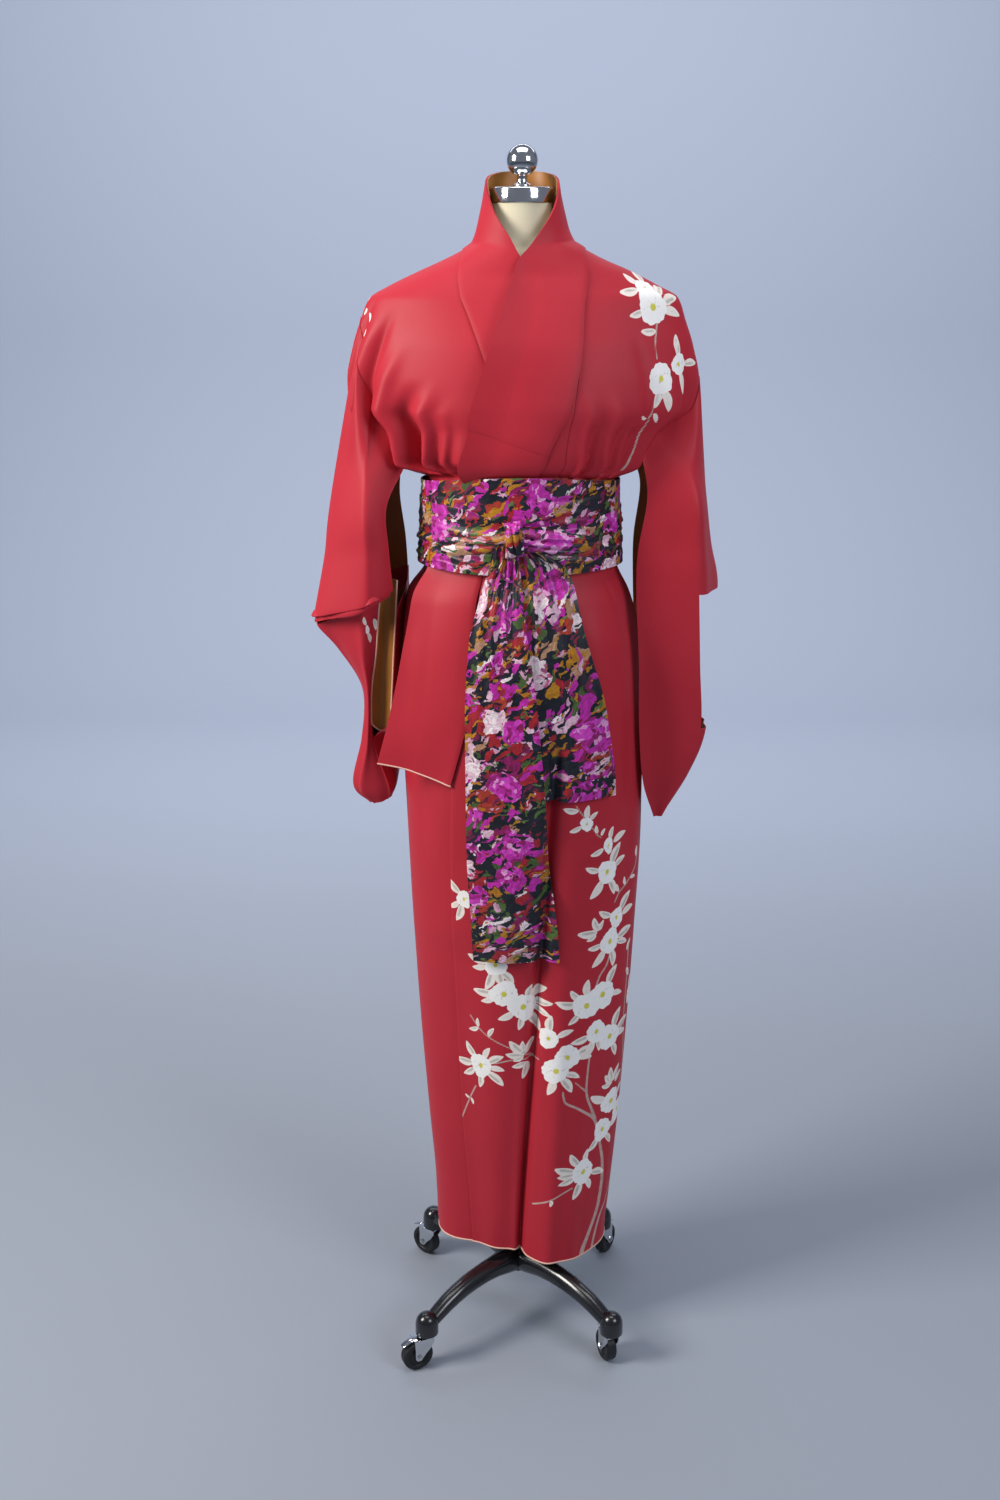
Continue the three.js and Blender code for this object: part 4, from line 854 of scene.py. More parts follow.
def tube(name, path, radius, material):
    """A round piping along a path, with closed ends."""
    sides = 8
    path = np.asarray(path, float)
    forward = np.gradient(path, axis=0)
    forward /= np.linalg.norm(forward, axis=1, keepdims=True)
    aside = np.cross(forward, [0.0, 0.0, 1.0])
    upright = np.linalg.norm(aside, axis=1) < 0.2
    aside[upright] = np.cross(forward[upright], [0.0, 1.0, 0.0])
    aside /= np.linalg.norm(aside, axis=1, keepdims=True)
    above = np.cross(aside, forward)
    turn = np.linspace(0, 2 * np.pi, sides, endpoint=False)[None, :, None]
    points = path[:, None] + (np.cos(turn) * aside[:, None] + np.sin(turn) * above[:, None]) * radius
    ring = np.arange(sides)[None]
    faces = [np.roll(ring_quads(len(path), sides)[:, ::-1], 1, axis=1), ring[:, ::-1],
             ring + (len(path) - 1) * sides]
    marks = np.zeros(sum(len(f) for f in faces))
    return make_object(name, points.reshape(-1, 3), faces, marks, [material])


def settle(piece, slot, *nodes):
    """Puts a finished piece on the stand's body in place of its CAD nodes."""
    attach(piece, "stand")
    if nodes:
        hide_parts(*nodes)
    return piece


# ---------------------------------------------------------------- the robe

def robe_sheet(piece, *nodes, flat, held="hung", with_pieces=(), slot="kimono_silk"):
    """Settles a sheet of cloth that lies on the form. Its size when flat, in metres, is not used."""
    settle(piece, slot, *nodes)


def panel(name, rows, columns, start, end, out, copies=None):
    """A panel of the robe. start and end give the angles of its two edges at a height."""
    first, last = start(rows)[:, None], end(rows)[:, None]
    share = shares(columns)
    z = rows[:, None] + 0 * share
    angle = first * (1 - share) + last * share
    seam = np.minimum(np.abs(angle - first), np.abs(angle - last)) * 2.4
    tuck = -0.7 * hill(seam, 1.6)  # the stitched edge sinks in a little
    points = robe_point(angle, z, out(angle, z) + fold_depth(CREASES, angle, z) + tuck)
    fields = dye_robe(angle, z, copies) if copies else undyed(angle.shape)
    uv = np.stack([np.radians(angle) * 0.15, z * MM], -1)
    return shell(name, points, SILK, uv=uv, fields=fields)


SIDE = 97.0  # the side seams, in degrees from the centre front
SKIRT_ROWS = heights((HEM, 960, 2.4), (960, WAIST, 5))
PLAIN_ROWS = heights((HEM, WAIST, 5))
BODICE_ROWS = heights((WAIST + 2, 1330, 4), (1330, 1372, 1.6), (1372, 1400, 2.2), (1400, NECK, 2.4))
FRONT_AND_BACK = ((0, 0, 1), (118, 60, 1))
edgings = {}


def build_panels():
    left_side = lambda z: np.full(np.shape(z), SIDE)
    right_side = lambda z: np.full(np.shape(z), -SIDE)
    back_left = lambda z: 180 - seam_angle(z)
    back_right = lambda z: -180 + seam_angle(z)
    left_edge = lambda z: angle_at(LEFT_BODY_EDGE(z), z)
    right_edge = lambda z: angle_at(RIGHT_BODY_EDGE(z), z)
    left_free = lambda z: angle_at(LEFT_OKUMI_EDGE(z), z)
    right_free = lambda z: angle_at(86 - 12 * (z - HEM) / 1100, z)
    after = lambda edge: (lambda z: edge(z) + 0.5 * seam_angle(z))
    before = lambda edge: (lambda z: edge(z) - 0.5 * seam_angle(z))
    overlap_rows = heights((HEM, 960, 2.4), (960, 1475, 4))
    front, right_copies = ((0, 0, 1),), ((0, 0, 1), (-118, 12, -1))
    for name, node, rows, columns, start, end, out, copies, flat, extras in (
        ("skirt_left_front", "body_left", SKIRT_ROWS, 92, left_edge, before(left_side), left_front_out,
         FRONT_AND_BACK, (0.26, 1.17), [edgings["left"]]),
        ("skirt_left_back", "body_left", SKIRT_ROWS, 70, after(left_side), back_left, left_front_out,
         FRONT_AND_BACK, (0.24, 1.17), []),
        ("bodice_left", "body_left", BODICE_ROWS, 160, left_edge, back_left, left_front_out,
         front, (0.47, 0.38), []),
        ("skirt_right_front", "body_right", PLAIN_ROWS, 60, after(right_side), right_edge,
         right_front_out, None, (0.28, 1.17), [edgings["right"]]),
        ("skirt_right_back", "body_right", SKIRT_ROWS, 60, back_right, before(right_side),
         right_front_out, None, (0.24, 1.17), []),
        ("bodice_right", "body_right", BODICE_ROWS, 150, back_right, right_edge, right_front_out,
         right_copies, (0.47, 0.38), []),
        ("overlap_left", "okumi_left", overlap_rows, 60, left_free, before(left_edge), left_skirt_out,
         front, (0.13, 1.34), []),
        ("overlap_right", "okumi_right", heights((HEM, 1334, 6)), 18, after(right_edge), right_free,
         right_front_out, None, (0.065, 1.2), []),
    ):
        piece = panel(name, rows, columns, start, end, out, copies)
        robe_sheet(piece, node, flat=flat, with_pieces=extras)


def build_hem():
    for side, first, last, out in (
        ("left", float(angle_at(LEFT_OKUMI_EDGE(HEM), HEM)), 179.8, left_skirt_out),
        ("right", -179.8, float(angle_at(86, HEM)), right_front_out),
    ):
        angle = np.linspace(first, last, 260)
        z = np.full(angle.shape, HEM)
        path = robe_point(angle, z, out(angle, z) + fold_depth(CREASES, angle, z) - WALL / 2)
        path[:, 2] = HEM - 1.6
        edge = tube("hem_edging_" + side, path, 1.5, PALE_SILK)
        edgings[side] = settle(edge, "pale_edging", "hem_edge_" + side)


# The collar is one long band, opened out to its full width. Each row is a line across it: angle and
# height at the edge sewn to the robe, the same at the free edge, and how far the free edge stands off.
COLLAR_BACK = [
    (180, 1636, 180, 1731, 0),
    (150, 1636, 150, 1730, 0),
    (120, 1635, 120, 1726, 0),
    (98, 1634, 98, 1721, 0),
    (80, 1631, 80, 1714, 0),
    (63, 1627, 64, 1701, 0),
    (46, 1615, 37, 1674, 0),
    (33, 1597, 13, 1645, 0),
]
# The same, with x in place of the angle
COLLAR_OVER = [
    (80, 1568, -5, 1618, 0),
    (78, 1537, -18, 1578, 0),
    (75, 1500, -36, 1525, 0),
    (66, 1455, -53, 1470, 0),
    (48, 1405, -69, 1413, 0),
    (29, 1362, -86, 1360, 0),
    (21, 1346, -89, 1342, 0),
    (-10, 1290, -103, 1290, 0),
    (-50, 1226, -113, 1226, 0),
    (-60, 1168, -134, 1165, 7),
    (-63, 1104, -142, 1094, 17),
    (-68, 1030, -148, 1022, 26),
    (-93, 918, -151, 946, 44),
]
COLLAR_UNDER = [
    (-79, 1572, 5, 1612, 0),
    (-62, 1532, 22, 1574, 0),
    (-47, 1492, 38, 1528, 0),
    (-18, 1443, 54, 1480, 0),
    (8, 1402, 60, 1434, 0),
    (22, 1380, 60, 1396, 0),
]


def collar_rows():
    with_angle = lambda r: (float(angle_at(*r[:2])), r[1], float(angle_at(*r[2:4])), r[3], r[4])
    rows = [with_angle(r) for r in COLLAR_UNDER][::-1]
    rows += [(-r[0], r[1], -r[2], r[3], r[4]) for r in COLLAR_BACK[1:]][::-1]
    rows += COLLAR_BACK + [with_angle(r) for r in COLLAR_OVER]
    table = np.array(rows, float)
    across = turn_between(table[:, 2], table[:, 0])
    table[:, 0] = np.degrees(np.unwrap(np.radians(table[:, 0])))
    table[:, 2] = table[:, 0] + across
    return table


COLLAR = collar_rows()
COLLAR_MIDDLE = len(COLLAR_UNDER) + len(COLLAR_BACK) - 1  # the row at the centre back
COLLAR_AT = [curve([(k, v) for k, v in enumerate(COLLAR[:, c])], 1) for c in range(5)]


def collar_grid(row, across, extra):
    t = across[None]
    sewn, sewn_z, free, free_z, flare = (at(row) for at in COLLAR_AT)
    z = sewn_z + (free_z - sewn_z) * t
    angle = turn_between(sewn + (free - sewn) * t, 0)
    over = smooth(row, COLLAR_MIDDLE, COLLAR_MIDDLE + 5)
    at_neck = smooth(z, 1632, 1665) * smooth(np.abs(angle), 30, 75)
    lifts = smooth(row, COLLAR_MIDDLE + 7, COLLAR_MIDDLE + 9)  # only the free edge in front
    lift = COLLAR_LIFT * np.clip((t - 0.62) / 0.38, 0, 1) ** 1.6 * lifts
    layers = over * left_front_out(angle, z) * (1 - at_neck)
    out = COLLAR_OUT + layers + flare * (0.08 + 0.92 * t**2) + lift
    return robe_point(angle, z, out + extra)


def build_collar():
    end = len(COLLAR) - 1
    across = shares(37)
    soft = lambda row: 0.5 * np.sin(row * 1.7) * np.sin(across[None] * 7 + row * 0.6)
    row = np.linspace(0, end, end * 11 + 1)[:, None]
    roll = -1.2 * hill(across[None], 0.03)  # the seam with the robe sinks in
    grid = collar_grid(row, across, soft(row) + roll)
    length = np.concatenate([[0], np.cumsum(np.linalg.norm(np.diff(grid[:, 18], axis=0), axis=1))])
    uv = np.stack([length[:, None] * MM + 0 * across, across * 0.115 + 0 * row], -1)
    piece = shell("collar_band", grid, SILK, uv=uv, fields=undyed(grid.shape[:2]))
    path = grid[-1] - 0.6 * grid_normals(grid)[-1] - [0, 0, 0.8]
    edging = settle(tube("collar_end_edging", path, 1.3, PALE_SILK), "pale_edging")
    robe_sheet(piece, "collar", flat=(0.115, 1.3), held="folded", with_pieces=[edging])
    last = end - 8
    row = np.linspace(3, last, (last - 3) * 11 + 1)[:, None]
    slant = 0.55 * (1 - across[None]) * smooth(row, last - 3, last)
    ends = smooth(row, 3, 4) * (1 - smooth(row, last - 0.12, last))
    grid = collar_grid(row + slant, across, soft(row + slant) + 0.55 + 0.7 * ends + roll)
    piece = shell("over_collar_band", grid, SILK, thick=0.9, fields=undyed(grid.shape[:2]))
    robe_sheet(piece, "over_collar", flat=(0.115, 0.7), held="folded")
    row = np.linspace(COLLAR_MIDDLE - 5, COLLAR_MIDDLE + 5, 121)[:, None]
    grid = collar_grid(row, np.linspace(0.5, 1, 20), -1.6)
    piece = shell("collar_facing", grid, (GOLD_SILK,) * 3, thick=THIN)
    robe_sheet(piece, "collar_lining", flat=(0.045, 0.28), held="folded", slot="gold_lining")


# Sleeves: places of the front inner edge, front fold, top fold, back fold and back inner edge, from
# the seam with the body down. x is outwards from the middle of the body.
LEFT_SLEEVE = [
    ((170, -58, 1312), (236, -62, 1322), (257, 4, 1312), (238, 44, 1312), (170, 66, 1312)),
    ((159, -62, 1240), (243, -66, 1245), (268, 12, 1240), (246, 48, 1240), (163, 68, 1240)),
    ((158, -63, 1184), (247, -66, 1180), (280, 20, 1172), (252, 46, 1174), (163, 68, 1184)),
    ((164, -63, 1085), (252, -64, 1080), (262, -8, 1080), (250, 42, 1080), (167, 66, 1085)),
    ((167, -61, 990), (257, -58, 985), (262, -10, 985), (250, 36, 985), (169, 60, 990)),
    ((175, -56, 906), (238, -54, 916), (241, -14, 916), (233, 28, 916), (177, 46, 906)),
    ((193, -46, 848), (206, -44, 850), (209, -18, 850), (205, 8, 850), (193, 12, 848)),
]
RIGHT_SLEEVE = [
    ((182, -62, 1300), (214, -76, 1306), (264, -8, 1300), (240, 34, 1300), (171, 56, 1300)),
    ((180, -64, 1240), (212, -80, 1232), (276, -16, 1220), (250, 32, 1226), (164, 58, 1240)),
    ((176, -62, 1187), (212, -80, 1170), (291, -24, 1143), (262, 28, 1150), (161, 58, 1187)),
    ((179, -58, 1189), (213, -76, 1173), (287, -23, 1146), (260, 27, 1147), (161, 58, 1183)),
    ((181, -57, 1176), (215, -74, 1158), (289, -22, 1131), (260, 27, 1140), (161, 57, 1176)),
    ((191, -44, 1182), (219, -56, 1166), (280, -18, 1135), (259, 26, 1134), (160, 56, 1168)),
    ((197, -34, 1158), (226, -42, 1148), (284, -14, 1124), (258, 26, 1128), (160, 54, 1158)),
    ((203, -34, 1090), (224, -42, 1090), (256, -10, 1088), (232, 28, 1088), (163, 52, 1090)),
    ((211, -32, 1030), (216, -38, 1030), (225, -8, 1030), (212, 26, 1030), (167, 48, 1030)),
    ((210, -30, 958), (219, -34, 958), (228, -6, 958), (216, 22, 958), (173, 38, 958)),
    ((190, -30, 890), (230, -32, 888), (241, -8, 888), (228, 14, 888), (178, 22, 892)),
    ((192, -22, 866), (212, -24, 860), (217, -10, 860), (212, 4, 860), (190, 6, 866)),
]
# Where each sleeve leaves the body: angle and height, from the front round the shoulder to the back
LEFT_ARMHOLE = [(68, 1362), (75, 1412), (90, 1468), (104, 1412), (114, 1362)]
RIGHT_ARMHOLE = [(66, 1352), (63, 1442), (88, 1545), (114, 1440), (114, 1352)]


def sleeve_grid(table, armhole, side, downs, acrosses):
    """Points of a sleeve: downs run from 0 at the seam to the last row, acrosses from 0 to 4."""
    points = np.array(table, float)
    points[..., 0] *= side

    def seam(position):
        angle, z = (curve([(k, *row) for k, row in enumerate(armhole)], c)(position) for c in (1, 2))
        return robe_point(side * angle, z, 1.0 + (left_front_out(angle, z) if side > 0 else 0 * angle))

    points = np.concatenate([seam(np.arange(5.0))[None], points])
    ends = np.concatenate([2 * points[:1] - points[1:2], points, 2 * points[-1:] - points[-2:-1]])
    k = np.minimum(downs.astype(int), len(points) - 2)
    t = (downs - k)[:, None, None]
    p0, p1, p2, p3 = (ends[k + n] for n in range(4))
    rows = hermite(t, p1, p2, 0.5 * (p2 - p0), 0.5 * (p3 - p1))
    k = np.minimum(acrosses.astype(int), 3)
    at = lambda n: rows[:, np.clip(k + n, 0, 4)]
    hanging = hermite((acrosses - k)[None, :, None], at(0), at(1),
                      (at(1) - at(-1)) * 0.36, (at(2) - at(0)) * 0.36)
    return hanging + (seam(acrosses) - hanging[:1]) * (1 - smooth(downs, 0, 0.8))[:, None, None]


def sleeve_pleats(downs, acrosses, side):
    """How far the hanging cloth of a sleeve swings out of its main shape."""
    d, a = downs[:, None], acrosses[None]
    loose = smooth(d, 0.3, 2.0)
    waves = 1.6 * np.sin(a * 5.2 + 0.5 * d + side) + 1.1 * np.sin(a * 9.1 - 0.7 * d)
    return loose * waves * np.sin(np.pi * a / 4) ** 0.5


def build_sleeves():
    acrosses = np.linspace(0, 4, 121)
    for name, table, armhole, side, cuff in (
        ("left", LEFT_SLEEVE, LEFT_ARMHOLE, 1, (3, 5, 0.9, 2.9)),
        ("right", RIGHT_SLEEVE, RIGHT_ARMHOLE, -1, (6.05, 6.9, 1.15, 2.0)),
    ):
        downs = np.linspace(0, len(table), len(table) * 20 + 1)
        grid = sleeve_grid(table, armhole, side, downs, acrosses)
        centre = grid.mean(1, keepdims=True) + 0 * grid
        outwards = grid_normals(grid)
        if np.sum(outwards * (grid - centre)) < 0:
            outwards = -outwards
        grid = grid + outwards * sleeve_pleats(downs, acrosses, side)[..., None]
        d, a = np.meshgrid(downs[:-1], acrosses[:-1], indexing="ij")
        keep = ~((d > cuff[0] - 0.01) & (d < cuff[1] - 0.01) & (a > cuff[2]) & (a < cuff[3]))
        across, down = np.meshgrid(acrosses, downs)
        uv = np.stack([across * 0.075, down * 0.07], -1)
        fields = undyed(grid.shape[:2])
        for down, across, blooms, leaves in SLEEVE_SPRAYS[name]:
            k, n = int(np.searchsorted(downs, down)), int(np.searchsorted(acrosses, across))
            right = (grid[k, n + 1] - grid[k, n - 1]) * side
            right /= np.linalg.norm(right)
            up = np.cross(right, outwards[k, n])
            up *= np.sign(up[2])
            dye_motif(fields, grid, (grid[k, n], right, up), blooms, leaves)
        lined = ~((side < 0) & (d > 2.7) & (d < 6.6))
        piece = shell("sleeve_shell_" + name, grid, SILK, thick=THIN, keep=keep, uv=uv, fields=fields,
                      centre=centre, lined=lined.astype(int))
        extras = build_sleeve_opening(grid[downs > 6.0]) if side < 0 else []
        robe_sheet(piece, "sleeve_" + name, "sleeve_lining_" + name, flat=(0.28, 0.5),
                   with_pieces=extras)


# A few flowers on the sleeves: down and across the sleeve, then flowers and leaves round that place
SLEEVE_SPRAYS = {
    "left": [],
    "right": [(7.5, 0.6, [(0, 0, 6, 10, 0.6)], [(0, -4, -85, 15), (-1, 6, 95, 13)]),
              (7.3, 0.3, [], [(0, 0, -95, 17), (3, -12, -60, 9)])],
}


def build_sleeve_opening(lower):
    """The open inner edge of the right sleeve: the lining turned out between its two piped edges,
    and the cloth that closes the sleeve behind and below it. lower is the sleeve under the cuff."""
    edges = []
    for column in (0, -1):
        line = lower[np.argsort(lower[:, column, 2]), column]
        edges.append(lambda z, line=line: np.stack(
            [*(np.interp(z, line[:, 2], line[:, c]) for c in (0, 1)), z], -1))
    front_edge, back_edge = edges
    inner_x = curve([(984, -184), (1060, -180), (1166, -173), (1200, -171)], 1)
    top, end = 1196, 984.0
    z = np.linspace(end, top, 110)
    left = front_edge(z) + [0, 0.4, 0]
    right = np.stack([inner_x(z), left[:, 1] - 3, z], -1)
    u = shares(15)[None, :, None]
    depth = 9 * np.sin(np.pi * u) * np.array([0, 1, 0])
    sag = np.array([0, 0, -13.0]) * np.sin(np.pi * u) * smooth(z, end + 60, end)[:, None, None]
    channel = left[:, None] * (1 - u) + right[:, None] * u + depth + sag
    gold = shell("sleeve_lining_channel", channel, (GOLD_SILK,) * 3, thick=THIN,
                 centre=channel + [0, 50.0, 0])
    settle(gold, "gold_lining")
    rim = np.concatenate([channel[:0:-1, 0], channel[0], channel[1:, -1]]) - [0, 1.0, 0]
    edging = settle(tube("sleeve_opening_edging", rim, 1.25, PALE_SILK), "pale_edging")
    z = np.linspace(lower[:, 0, 2].min() + 1, top, 130)
    meets = smooth(z, end + 4, end - 26)[:, None]
    start = np.stack([inner_x(z), front_edge(z)[:, 1] - 2, z], -1) * (1 - meets) + front_edge(z) * meets
    u = shares(24)[None, :, None]
    wall = start[:, None] * (1 - u) + back_edge(z)[:, None] * u
    wall = wall + np.array([4.0, -1, 0]) * np.sin(np.pi * u)
    wall = wall - np.array([0, 0, 40.0]) * (1 - u) * smooth(z, 1120, top)[:, None, None]
    back = shell("sleeve_inner_wall", wall, SILK, thick=THIN, centre=wall - [60.0, 0, 0],
                 fields=undyed(wall.shape[:2]))
    return [gold, edging, settle(back, "kimono_silk")]


# ---------------------------------------------------------------- the sash

BELT_BOTTOM, BELT_TOP = 1219, 1334
OUTER_WRAP_TOP = curve([(-180, 1304), (-90, 1309), (-32, 1304), (-8, 1286), (12, 1284), (60, 1294),
                        (180, 1304)], 1)
# Creases in the sash: height at the left, middle and right of the front, half width, and depth
SASH_CREASES = [
    (1322, 1318, 1324, 3.0, -1.4),
    (1296, 1282, 1288, 3.0, -2.4),
    (1284, 1270, 1276, 3.4, 2.0),
    (1268, 1262, 1262, 2.6, -2.6),
    (1256, 1258, 1248, 3.0, 1.8),
    (1246, 1250, 1238, 2.6, -2.2),
    (1232, 1238, 1230, 3.2, 1.4),
]


def sash_out(angle, turn):
    return turn * TURN_STEP + EASE + BELT_OUT * in_front(angle)


def sash_relief(angle, z):
    a = np.radians(angle)
    side = np.sin(a)
    depth = np.zeros(np.broadcast(angle, z).shape)
    for left, middle, right, wide, size in SASH_CREASES:
        line = middle + np.where(side < 0, left - middle, right - middle) * side**2
        line = line + 2.2 * np.sin(a * 5 + left)
        depth = depth + 1.5 * size * hill(z - line, wide) * (0.6 + 0.4 * np.cos(a * 3 + right))
    wave = z / 3.6 + 1.5 * np.sin(3 * a + 1) + 0.9 * np.sin(8 * a + 2 + z / 30)
    ridged = (1 - np.abs(np.sin(wave))) ** 2 * (0.55 + 0.45 * np.sin(2 * a + z / 17))
    return depth + 1.5 * ridged * (1 - smooth(z, 1286, 1326))


def build_sash():
    angle = np.linspace(-180, 180, 400, endpoint=False)
    inner_top = lambda a: BELT_TOP - 2 + BELT_RISE * np.maximum(np.cos(np.radians(a)), 0) ** 2
    for name, node, turn, bottom, top, relief, deepest, wide in (
        ("sash_turn_inner", "sash_wrap_inner", 1, BELT_BOTTOM, inner_top, 0.6, -2.5, 0.13),
        ("sash_turn_outer", "sash_wrap_outer", 2, BELT_BOTTOM - 2, OUTER_WRAP_TOP, 1.0, -0.4, 0.09),
    ):
        t = shares(70)[:, None]
        high = top(angle)[None]
        z = bottom * (1 - t) + high * t
        around = np.broadcast_to(angle[None], z.shape)
        ends = 1 - 0.8 * (hill(z - bottom, 4) + hill(z - high, 4))
        out = sash_out(around, turn) + np.maximum(sash_relief(around, z) * relief * ends, deepest) + 0.3
        uv = np.stack([np.radians(around) * WAIST_RADIUS + 0.31 * turn, z * MM], -1)
        piece = shell(name, robe_point(around, z, out), PRINT, around=True, uv=uv, thick=THIN)
        robe_sheet(piece, node, flat=(wide, 0.86), held="stretched", slot="sash_silk")
    over = sash_out(0, 2)
    tail("tail_short_under", "sash_tail_short", 1262, 903, over + TURN_STEP,
         [(903, 26), (1023, 10), (1262, -6)],
         [(903, 120), (1023, 107), (1135, 78), (1227, 52), (1262, 14)],
         ((0.25, 6), (0.5, 5), (0.78, 5)))
    tail("tail_long_over", "sash_tail_long", 1262, 656, over + 2 * TURN_STEP,
         [(654, -62), (834, -69), (1024, -70), (1122, -65), (1262, -34)],
         [(654, 51), (789, 40), (1052, 18), (1180, 2), (1262, -3)],
         ((0.18, 4), (0.4, 6), (0.63, 5), (0.86, 5)))


def tail(name, node, top, bottom, out, left_edge, right_edge, pleats):
    """One tail of the sash. pleats are soft upright folds: place across, and depth at the top."""
    z = np.linspace(bottom, top, int((top - bottom) / 2.6))[:, None]
    t = shares(64)[None]
    left, right = curve(left_edge, 1)(z), curve(right_edge, 1)(z)
    angle = angle_at(left, z) * (1 - t) + angle_at(right, z) * t
    down = (top - z) / (top - bottom)
    relief = 0 * angle
    for place, depth in pleats:
        lean = place + (0.5 - place) * 0.25 * down
        relief = relief + depth * hill(t - lean, 0.06 + 0.1 * down) * hill(down, 0.5)
    relief = relief + 1.3 * np.sin(t * 7 + down * 5) * (0.25 + 0.75 * down) * np.sin(np.pi * t)
    relief = relief - 0.8 * hill(np.minimum(t, 1 - t) * 60, 2)  # rolled hems
    height = z + 0 * t
    across, along = t * TAIL_WIDTH + 0 * z, height * MM
    if "long" in name:  # its right edge curls
        curled = smooth(down, 0.02, 0.12) * (1 - smooth(down, 0.55, 0.8))
        relief = relief + 5 * smooth(t, 0.8, 1) * curled
        uv = np.stack([across + 0.43, along], -1)
    else:  # printed on the slant, with longer strokes
        uv = np.stack([0.62 * (across + 0.6 * along) + 1.9, 0.8 * along - 0.35 * across], -1)
    grid = robe_point(angle, height, out + np.maximum(relief, 0) + 0.8)
    piece = settle(shell(name, grid, PRINT, uv=uv, thick=THIN), "sash_silk", node)


def select_only(made):
    bpy.ops.object.select_all(action="DESELECT")
    made.select_set(True)
    bpy.context.view_layer.objects.active = made


def apply_place(made):
    select_only(made)
    bpy.ops.object.transform_apply(location=True, rotation=True, scale=True)


def knot_cloth(name, x, z, front, back, uv):
    """A piece of the knot. front and back are how far it stands off the sash's outer turn."""
    over = sash_out(0, 2)
    grid = robe_point(angle_at(x, z), z, over + front)
    centre = robe_point(angle_at(x, z), z, over + back + 0 * z)
    return shell(name, grid, PRINT, thick=1.2, uv=uv, centre=centre)


def gathered_roll(name, start, stop, start_size, stop_size, pleats, shift):
    """Cloth drawn together over the sash, from start to stop, each an x and a height. The sizes are
    its height and how far it stands out. It lies on the sash with its back flat."""
    u, v = shares(60)[:, None], shares(48)[None]
    x = start[0] + (stop[0] - start[0]) * u + 0 * v
    middle = start[1] + (stop[1] - start[1]) * u
    tall, deep = (first + (last - first) * smooth(u, 0, 1) for first, last in zip(start_size, stop_size))
    z = middle + tall * (v - 0.5)
    lobe = np.abs(np.sin(np.pi * pleats * v + 0.9 * np.sin(3 * u + shift)))
    crown = np.sin(np.pi * v) ** 0.45
    tip = np.sqrt(np.clip(1 - (2 * u - 1) ** 6, 0, 1))
    uv = np.stack([x * MM * 0.9 + shift, z * MM * 1.1 + shift], -1)
    return knot_cloth(name, x, z, 0.6 + deep * crown * tip * (0.62 + 0.38 * lobe), -0.4, uv)


def build_knot():
    """The knot: cloth gathered in from both sides, and the loop that is drawn down over it."""
    right = gathered_roll("sash_gathers_left_side", (-4, 1269), (92, 1252), (32, 13), (30, 3.0),
                          3.0, 0.4)
    left = gathered_roll("sash_gathers_right_side", (-12, 1266), (-96, 1250), (24, 9), (26, 2.4),
                         2.0, 1.3)
    settle(right, "sash_silk")
    settle(left, "sash_silk")
    # the loop: u from its left edge to its right edge, v from its top over the front to its bottom
    u, v = shares(40)[:, None], shares(64)[None]
    turn = np.pi * (0.02 + 0.96 * v)
    width = 12.5 - 3.5 * np.sin(np.pi * v) + 2 * v
    x = -9 + 4 * (v - 0.5) + width * (2 * u - 1)
    z = 1268 + 24 * np.cos(turn) + 2.5 * (2 * u - 1)
    lobe = 0.8 + 0.2 * np.abs(np.cos(np.pi * 3 * u + 0.6 * np.sin(5 * v)))
    bulge = 20 * np.sin(turn) ** 0.8 * np.sqrt(np.clip(1 - (2 * u - 1) ** 4, 0, 1)) * lobe
    uv = np.stack([x * MM + 0.352, z * MM * 1.2 + 0.19], -1)
    loop = settle(knot_cloth("sash_knot_loop", x, z, 1.5 + bulge, -2, uv), "sash_silk", "sash_knot")


# ---------------------------------------------------------------- the form and its metal top

FORM = [
    (862, 128, 84, 90), (870, 142, 94, 102), (900, 150, 100, 108), (1000, 157, 106, 114),
    (1100, 152, 103, 108), (1200, 122, 88, 82), (1275, 110, 80, 70), (1350, 120, 88, 74),
    (1440, 138, 102, 80), (1500, 152, 94, 80), (1550, 160, 78, 72), (1582, 162, 66, 64),
    (1600, 150, 60, 58), (1615, 120, 55, 52), (1628, 90, 50, 45), (1638, 60, 44, 41),
    (1650, 43, 42, 40), (1691, 40, 40, 38),
]


def build_form():
    rest = 2.1  # the robe's shoulders lie this far above the form's
    wide, front, back = (curve(FORM, k) for k in (1, 2, 3))
    z = np.concatenate([[862], heights((862.01, 1600, 8), (1600, 1660, 2.5), (1660, 1691, 6))])[:, None]
    a = np.linspace(0, 2 * np.pi, 96, endpoint=False)[None]
    # over the shoulders it stays inside the robe
    inside = np.where(np.sin(a) < 0, half_right(z + rest), half_left(z + rest))
    x = np.minimum(wide(z) + 0 * a, np.where(z > 1560, inside, 999)) * np.sin(a)
    y = -np.where(np.cos(a) > 0, front(z), back(z)) * np.cos(a)
    grid = np.stack([x, y, z + 0 * a], -1)
    rows, columns = grid.shape[:2]
    ring = np.arange(columns)[None]
    faces = [ring_quads(rows, columns), ring[:, ::-1], ring + (rows - 1) * columns]
    marks = np.zeros(len(faces[0]) + 2)
    form = make_object("form_body", grid.reshape(-1, 3), faces, marks, [JERSEY])
    settle(form, "form_jersey", "form_torso")


